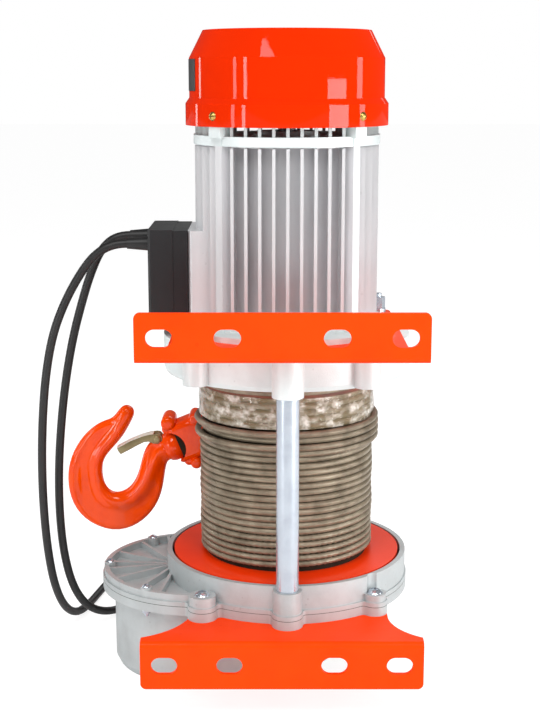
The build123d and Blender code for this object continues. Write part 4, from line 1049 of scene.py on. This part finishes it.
@dataclass
class HookForging:
    """Forged hook with its bead, flat web and ball point, drawn round its bowl."""

    bowl: Point = (-168.0, 88.3, 159.0)
    tilt: float = 22.0
    ring_count: int = 36
    point_inset: float = 0.9
    rounding_levels: int = 2
    smooth_angle: float = 70.0
    collar_sides: int = 48
    collar_profile: tuple[tuple[float, float], ...] = (
        (50.0, 9.0), (51.4, 12.0), (54.2, 14.4), (58.0, 15.6), (62.5, 15.7), (66.0, 14.8), (68.8, 12.8),
        (70.8, 10.0), (71.8, 7.4), (90.0, 7.0))
    stations: tuple[HookStation, ...] = (
        HookStation((37.2, 50.7), (34.2, 55.1), 2.7, 2.7),
        HookStation((36.9, 45.9), (29.7, 56.7), 6.5, 6.5),
        HookStation((34.0, 42.1), (24.6, 55.2), 8.0, 8.0),
        HookStation((27.2, 36.2), (18.4, 51.0), 8.3, 8.0),
        HookStation((18.2, 29.0), (11.8, 48.4), 8.6, 6.6),
        HookStation((9.4, 23.8), (3.6, 50.0), 8.0, 5.0, 0.4),
        HookStation((-1.8, 18.6), (-15.2, 46.6), 7.4, 4.4, 0.8),
        HookStation((-10.6, 13.4), (-37.0, 32.4), 7.0, 4.2, 1.1),
        HookStation((-15.8, 6.0), (-51.0, 14.4), 6.8, 4.2, 1.1),
        HookStation((-19.9, -5.5), (-59.6, -11.0), 7.0, 4.2, 1.1),
        HookStation((-20.4, -17.0), (-56.4, -38.0), 8.0, 4.4, 0.9),
        HookStation((-13.4, -25.8), (-33.2, -62.6), 9.4, 4.6, 0.5),
        HookStation((1.2, -25.2), (-4.6, -64.8), 10.6, 4.8),
        HookStation((12.2, -17.4), (19.4, -52.8), 11.4, 5.0),
        HookStation((20.2, -7.8), (32.8, -37.4), 11.8, 5.2),
        HookStation((27.5, 2.6), (41.6, -21.4), 12.2, 6.0, 0.0, 4.0),
        HookStation((36.0, 11.0), (47.4, -13.4), 12.2, 9.0, 0.0, 9.0),
        HookStation((46.0, 14.0), (50.5, -12.6), 12.8, 12.2, 0.0, 9.0),
        HookStation((56.5, 13.0), (56.5, -13.0), 13.0, 13.0),
    )

    def place(self, along: float, up: float) -> Vector:
        """Place of a point given in the hook's own plane.

        Args:
            along: Distance from the bowl along the shank, in millimetres.
            up: Distance from the bowl square to the shank.

        Returns:
            The place in metres.
        """
        tilt = math.radians(self.tilt)
        x = self.bowl[0] + along * math.cos(tilt) - up * math.sin(tilt)
        z = self.bowl[2] + along * math.sin(tilt) + up * math.cos(tilt)
        return Vector((x, self.bowl[1], z)) * MM

    def outline(self, station: HookStation) -> list[Vector]:
        """Ring of points round one section.

        Args:
            station: The section.

        Returns:
            Points in metres, from the outer edge round by the near side to the mouth's edge.
        """
        mouth = self.place(*station.mouth)
        across = self.place(*station.outer) - mouth
        width = across.length / MM
        found = []
        for i in range(self.ring_count):
            angle = 2 * math.pi * i / self.ring_count
            share = 0.5 + 0.5 * math.cos(angle)
            thickness = math.copysign(station.half_thickness(share * width, width), math.sin(angle))
            found.append(mouth + across * share + Vector((0.0, -thickness * MM, 0.0)))
        return found

    def forging(self) -> bpy.types.Object:
        """Hook's body, extruded ring by ring from its point to its neck.

        Returns:
            The piece.
        """
        piece = flat_start("hook_forging", self.ring_count)
        self.shape_ring(piece, self.stations[0])
        for station in self.stations[1:]:
            with editing():
                extrude(0.0, 0.0, BASE_SIZE)
            self.shape_ring(piece, station)
        self.close_point(piece)
        face_out(piece)
        rounder = piece.modifiers.new("rounder", "SUBSURF")
        rounder.levels = rounder.render_levels = self.rounding_levels
        apply_modifiers(piece)
        smooth(piece, self.smooth_angle)
        return piece

    def shape_ring(self, piece: bpy.types.Object, station: HookStation) -> None:
        """Move the selected end face's ring onto a section.

        Args:
            piece: The forging so far.
            station: The section.
        """
        mesh = piece.data
        face = next(polygon for polygon in mesh.polygons if polygon.select and len(polygon.vertices) > 4)
        for index, target in zip(face.vertices, self.outline(station)):
            mesh.vertices[index].co = target

    def close_point(self, piece: bpy.types.Object) -> None:
        """Close the open start of the point with an inset ring.

        Args:
            piece: The forging.
        """
        take(piece)
        with editing("DESELECT"):
            bpy.ops.mesh.select_non_manifold()
            bpy.ops.mesh.edge_face_add()
            bpy.ops.mesh.inset(thickness=self.point_inset * MM)

    def collar(self) -> bpy.types.Object:
        """Turned collar and shank between the forging and the block.

        Returns:
            The piece.
        """
        profile = self.collar_profile
        start, radius = profile[0]
        piece = flat_start("hook_collar", self.collar_sides, radius * MM)
        for (s0, r0), (s1, r1) in zip(profile, profile[1:]):
            with editing():
                extrude(0.0, 0.0, (s1 - s0) * MM)
                bpy.ops.transform.resize(value=(r1 / r0, r1 / r0, 1.0),
                                         center_override=(0.0, 0.0, (s1 - start) * MM))
        tilt = math.radians(90.0 - self.tilt)
        piece.data.transform(Matrix.Translation(self.place(start, 0.0)) @ Matrix.Rotation(tilt, 4, "Y"))
        face_out(piece)
        smooth(piece, EDGE_ANGLE)
        return piece

    def build(self, wardrobe: Wardrobe) -> None:
        """Forge the hook and its collar.

        Args:
            wardrobe: Materials.
        """
        body = self.forging()
        collar = self.collar()
        for piece in (body, collar):
            wardrobe.fit(piece, "orange_forging", Body.HOOK, "hook")
        log.info("hook: %d faces", len(body.data.polygons))


@dataclass
class LatchPressing:
    """Pressed latch: two tapered cheeks under a narrow back."""

    forging: HookForging
    pivot: tuple[float, float] = (48.0, 13.0)
    half_width: float = 7.4
    sheet: float = 1.4
    edge_width: float = 0.3
    edge_steps: int = 2
    outline: tuple[tuple[float, float], ...] = (
        (4.8, -3.0), (5.4, 0.6), (4.4, 3.6), (1.4, 5.4), (-6.0, 7.2), (-13.0, 8.0), (-26.0, 8.0),
        (-41.0, 6.2), (-41.0, 3.4), (-40.0, -0.6), (-30.0, 0.4), (-21.0, 1.6), (-13.3, 2.2), (-8.6, 0.8),
        (-5.6, -2.4), (-1.0, -4.8))
    back: tuple[tuple[float, float], ...] = (
        (-2.0, 6.2), (-13.0, 8.4), (-26.0, 8.4), (-41.6, 6.6), (-41.4, 5.2), (-26.0, 7.0), (-13.0, 7.0),
        (-2.0, 4.8))

    def pressed(self, name: str, corners: Sequence[tuple[float, float]], near: float,
                far: float) -> bpy.types.Object:
        """Flat outline in the hook's plane, given a thickness across it.

        Args:
            name: Name of the piece.
            corners: Outline from the pivot, in millimetres.
            near: Its near face, in millimetres towards the camera from the hook's plane.
            far: Its far face.

        Returns:
            The piece.
        """
        piece = flat_start(name, len(corners))
        for vertex, (along, up) in zip(piece.data.vertices, corners):
            vertex.co = self.forging.place(self.pivot[0] + along, self.pivot[1] + up)
            vertex.co.y -= near * MM
        with editing("SELECT"):
            extrude(0.0, (near - far) * MM, 0.0)
        face_out(piece)
        round_edges(piece, self.edge_width * MM, self.edge_steps)
        smooth(piece, EDGE_ANGLE)
        return piece

    def build(self, wardrobe: Wardrobe) -> None:
        """Press the latch's cheeks and its back.

        Args:
            wardrobe: Materials.
        """
        inner = self.half_width - self.sheet
        pieces = [
            self.pressed("latch_cheek_near", self.outline, self.half_width, inner),
            self.pressed("latch_cheek_far", self.outline, -inner, -self.half_width),
            # The back is dressed in the painted reflection finish by its name.
            self.pressed("latch_back", self.back, inner, -inner),
        ]
        for piece in pieces:
            wardrobe.fit(piece, "yellow_zinc", Body.LATCH, "safety_latch")
        log.info("latch")


@dataclass(frozen=True)
class Boss:
    """Round boss or pin across the hook's plane: its place there, radius and half length."""

    along: float
    up: float
    radius: float
    half_length: float


@dataclass
class BlockForging:
    """Swivel block: a rounded body with a socket for the collar, a near-black sheet painted as the shadow in
    that socket, and round bolt bosses.
    """

    forging: HookForging
    near: float = 61.0
    far: float = 100.0
    low: float = -18.5
    high: float = 22.0
    half_width: float = 17.0
    edge_radius: float = 6.0
    edge_steps: int = 5
    socket_place: tuple[float, float] = (56.5, 0.5)
    socket_radius: float = 17.0
    socket_sides: int = 64
    cutter_reach: float = 2.0
    # Place and depth of the sheet painted as the shadow in the socket.
    shadow_gap: float = 0.2
    shadow_depth: float = 2.5
    shadow_edge: float = 5.5
    boss_sides: int = 32
    dome_share: float = 0.62
    boss_smooth_angle: float = 50.0
    bosses: tuple[Boss, ...] = (
        Boss(65.6, 25.2, 7.4, 18.0), Boss(62.4, 19.6, 5.8, 14.0), Boss(76.4, -22.6, 5.8, 18.0),
        Boss(70.4, -18.0, 5.0, 15.0), Boss(91.0, 19.0, 6.0, 17.6))
    rivet: Boss = Boss(48.0, 13.0, 4.3, 9.8)

    def roller(self, name: str, radius: float, half_length: float) -> bpy.types.Object:
        """Round bar across the hook's plane, about the middle of the socket.

        Args:
            name: Name of the piece.
            radius: Its radius.
            half_length: Half its length.

        Returns:
            The piece.
        """
        middle = self.forging.place(*self.socket_place)
        return round_bar(name, radius * MM, 2 * half_length * MM, middle, self.socket_sides, 90.0)

    def body(self) -> bpy.types.Object:
        """The block's two halves as one rounded forging, with the socket cut out.

        Returns:
            The piece.
        """
        clear_selection()
        bpy.ops.mesh.primitive_cube_add(size=1.0)
        piece = named(bpy.context.active_object, "block_forging")
        piece.scale = ((self.far - self.near) * MM, 2 * self.half_width * MM, (self.high - self.low) * MM)
        settle(piece)
        round_edges(piece, self.edge_radius * MM, self.edge_steps)
        tilt = math.radians(-self.forging.tilt)
        middle = self.forging.place((self.near + self.far) / 2, (self.low + self.high) / 2)
        piece.data.transform(Matrix.Translation(middle) @ Matrix.Rotation(tilt, 4, "Y"))
        cutter = self.roller("socket_cutter", self.socket_radius, self.half_width + self.cutter_reach)
        cut = piece.modifiers.new("socket", "BOOLEAN")
        cut.operation = "DIFFERENCE"
        cut.object = cutter
        apply_modifiers(piece)
        bpy.data.objects.remove(cutter)
        smooth(piece, EDGE_ANGLE)
        return piece

    def boss(self, name: str, boss: Boss) -> bpy.types.Object:
        """Round boss or pin with domed ends.

        Args:
            name: Name of the piece.
            boss: Its place and size.

        Returns:
            The piece.
        """
        middle = self.forging.place(boss.along, boss.up)
        piece = round_bar(name, boss.radius * MM, 2 * boss.half_length * MM, middle, self.boss_sides, 90.0)
        round_edges(piece, boss.radius * self.dome_share * MM, self.edge_steps)
        smooth(piece, self.boss_smooth_angle)
        return piece

    def socket_shadow(self) -> bpy.types.Object:
        """Near-black sheet in the socket that the collar swivels in, painted as the shadow round the collar.

        Returns:
            The piece.
        """
        piece = self.roller("socket_painted_shadow", self.socket_radius - self.shadow_gap,
                            self.half_width - self.shadow_depth)
        edge = self.forging.place(self.near + self.shadow_edge, 0.0)
        axis = edge - self.forging.place(0.0, 0.0)
        with editing("SELECT"):
            bpy.ops.mesh.bisect(plane_co=edge, plane_no=axis, clear_inner=True, use_fill=True)
        face_out(piece)
        smooth(piece)
        return piece

    def build(self, wardrobe: Wardrobe) -> None:
        """Forge the block with its bosses and the painted shadow in its socket, and rivet the latch's pin.

        Args:
            wardrobe: Materials.
        """
        pieces = [self.body()]
        for i, boss in enumerate(self.bosses):
            pieces.append(self.boss(f"block_boss_{i + 1}", boss))
        for piece in pieces:
            wardrobe.fit(piece, "orange_forging", Body.FRAME, "swivel_block", "swivel_block_bolts")
        # The painted shadow in the socket is dressed in the near-black finish by its name.
        wardrobe.fit(self.socket_shadow(), "core_iron", Body.FRAME)
        wardrobe.fit(self.boss("latch_rivet", self.rivet), "yellow_zinc", Body.HOOK, "latch_pin")
        log.info("block")


# Small pieces


@dataclass
class CoverLabel:
    """Bare dark plate on the side of the fan cover."""

    radius: float = 87.5
    thickness: float = 0.5
    angle_low: float = 182.5
    angle_high: float = 203.5
    bottom: float = 533.0
    top: float = 560.5
    stand_off: float = 0.15
    cuts: int = 11

    def build(self, wardrobe: Wardrobe) -> None:
        """Bend the plate round the cover.

        Args:
            wardrobe: Materials.
        """
        clear_selection()
        bpy.ops.mesh.primitive_plane_add(size=1.0)
        piece = named(bpy.context.active_object, "cover_label")
        settle(piece)
        with editing("SELECT"):
            bpy.ops.mesh.subdivide(number_cuts=self.cuts)
        for vertex in piece.data.vertices:
            share_across = vertex.co.x + 0.5
            share_up = vertex.co.y + 0.5
            angle = math.radians(self.angle_low + (self.angle_high - self.angle_low) * share_across)
            height = self.bottom + (self.top - self.bottom) * share_up
            radius = self.radius + self.stand_off
            vertex.co = Vector((radius * math.cos(angle), radius * math.sin(angle), height)) * MM
        face_out(piece)
        wall = piece.modifiers.new("thickness", "SOLIDIFY")
        wall.thickness = self.thickness * MM
        wall.offset = 0.0
        apply_modifiers(piece)
        smooth(piece)
        wardrobe.fit(piece, "black_plastic", Body.FRAME)
        log.info("cover label")


# Studio


@dataclass(frozen=True)
class Lamp:
    """One soft lamp: its place, what it points at, its width and height, and its power."""

    name: str
    place: Point
    aim: Point
    size: tuple[float, float]
    power: float

    def hang(self) -> None:
        """Put the lamp in the scene."""
        data = bpy.data.lights.new(self.name, "AREA")
        data.shape = "RECTANGLE"
        data.size, data.size_y = self.size
        data.energy = self.power
        item = bpy.data.objects.new(self.name, data)
        item.location = self.place
        item.rotation_euler = (Vector(self.aim) - Vector(self.place)).to_track_quat("-Z", "Y").to_euler()
        bpy.context.scene.collection.objects.link(item)


@dataclass
class Studio:
    """Pale floor, soft lamps and the camera of the photograph."""

    camera_place: Point = (-0.0152, -1.272, 0.5462)
    pitch_down: float = 11.53
    lens: float = 69.7
    sensor: float = 36.0
    floor_size: float = 30.0
    floor_glow: float = 1.35
    floor_glow_share: float = 0.6
    floor_shade: float = 0.93
    floor_roughness: float = 0.9
    floor_drop: float = 0.2
    world_strength: float = 0.5
    world_gloss: float = 0.1
    lamps: tuple[Lamp, ...] = (
        Lamp("overhead_left", (-0.6, -1.4, 1.9), (0.0, 0.0, 0.35), (0.8, 0.8), 16.0),
        Lamp("overhead_right", (0.7, -1.5, 1.7), (0.0, 0.0, 0.3), (0.8, 0.8), 14.0),
        Lamp("left_strip", (-1.68, -0.9, 0.8), (0.0, 0.0, 0.45), (0.14, 1.2), 4.5),
        Lamp("key_left", (-1.05, -0.95, 0.3), (-0.15, 0.09, 0.1), (0.1, 0.6), 2.6),
        Lamp("left_rear_strip", (-1.6, 0.95, 0.7), (0.0, 0.0, 0.35), (0.14, 1.3), 5.0),
        Lamp("right_strip", (1.9, 0.02, 0.7), (0.0, 0.0, 0.35), (0.3, 1.3), 9.0),
        Lamp("low_right", (1.6, -1.0, 0.24), (0.0, 0.0, 0.15), (0.8, 0.6), 17.0),
        Lamp("rear", (0.4, 1.6, 1.4), (0.0, 0.0, 0.35), (1.0, 1.0), 8.0),
    )

    def camera(self) -> None:
        """Place the camera."""
        data = bpy.data.cameras.new("camera")
        data.lens = self.lens
        data.sensor_fit = "AUTO"
        data.sensor_width = self.sensor
        item = bpy.data.objects.new("camera", data)
        item.location = self.camera_place
        item.rotation_euler = (math.radians(90.0 - self.pitch_down), 0.0, 0.0)
        bpy.context.scene.collection.objects.link(item)
        bpy.context.scene.camera = item

    def pale_world(self) -> None:
        """Even light from all round, white in the view and dimmer in the hoist's gloss."""
        world = bpy.data.worlds.new("pale")
        bpy.context.scene.world = world
        world.use_nodes = True
        nodes = world.node_tree.nodes
        links = world.node_tree.links
        light = nodes["Background"]
        gloss = nodes.new("ShaderNodeBackground")
        seen = nodes.new("ShaderNodeBackground")
        for background, strength in ((light, self.world_strength), (gloss, self.world_gloss), (seen, 1.0)):
            set_inputs(background, {"Color": (1.0, 1.0, 1.0, 1.0), "Strength": strength})
        path = nodes.new("ShaderNodeLightPath")
        by_gloss = nodes.new("ShaderNodeMixShader")
        links.new(path.outputs["Is Glossy Ray"], by_gloss.inputs["Fac"])
        links.new(light.outputs["Background"], by_gloss.inputs[1])
        links.new(gloss.outputs["Background"], by_gloss.inputs[2])
        by_view = nodes.new("ShaderNodeMixShader")
        links.new(path.outputs["Is Camera Ray"], by_view.inputs["Fac"])
        links.new(by_gloss.outputs["Shader"], by_view.inputs[1])
        links.new(seen.outputs["Background"], by_view.inputs[2])
        links.new(by_view.outputs["Shader"], nodes["World Output"].inputs["Surface"])

    def floor(self) -> None:
        """Lay the pale floor."""
        clear_selection()
        bpy.ops.mesh.primitive_plane_add(size=self.floor_size, location=(0.0, 0.0, -self.floor_drop * MM))
        piece = named(bpy.context.active_object, "studio_floor")
        settle(piece)
        material = bpy.data.materials.new("studio_floor")
        material.use_nodes = True
        nodes = material.node_tree.nodes
        links = material.node_tree.links
        shader = nodes["Principled BSDF"]
        set_inputs(shader, {"Base Color": (*(self.floor_shade,) * 3, 1.0),
                            "Roughness": self.floor_roughness})
        glow = nodes.new("ShaderNodeEmission")
        glow.inputs["Strength"].default_value = self.floor_glow
        path = nodes.new("ShaderNodeLightPath")
        share = nodes.new("ShaderNodeMath")
        share.operation = "MULTIPLY"
        share.inputs[1].default_value = self.floor_glow_share
        links.new(path.outputs["Is Camera Ray"], share.inputs[0])
        mixer = nodes.new("ShaderNodeMixShader")
        links.new(share.outputs[0], mixer.inputs["Fac"])
        links.new(shader.outputs["BSDF"], mixer.inputs[1])
        links.new(glow.outputs["Emission"], mixer.inputs[2])
        links.new(mixer.outputs["Shader"], nodes["Material Output"].inputs["Surface"])
        piece.data.materials.append(material)

    def build(self) -> None:
        """Set up the view and the light."""
        self.camera()
        self.pale_world()
        self.floor()
        for lamp in self.lamps:
            lamp.hang()
        bpy.context.scene.view_settings.view_transform = "Standard"


def main() -> None:
    """Build the hoist's pieces in order."""
    logging.basicConfig(level=logging.INFO, format="%(message)s")
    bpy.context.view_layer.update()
    Studio().build()
    wardrobe = Wardrobe()
    wardrobe.dress_nodes()
    Leads().build(wardrobe)
    RopeWork().build(wardrobe)
    Packing().build(wardrobe)
    forging = HookForging()
    forging.build(wardrobe)
    LatchPressing(forging).build(wardrobe)
    BlockForging(forging).build(wardrobe)
    CoverLabel().build(wardrobe)


if __name__ == "__main__":
    main()
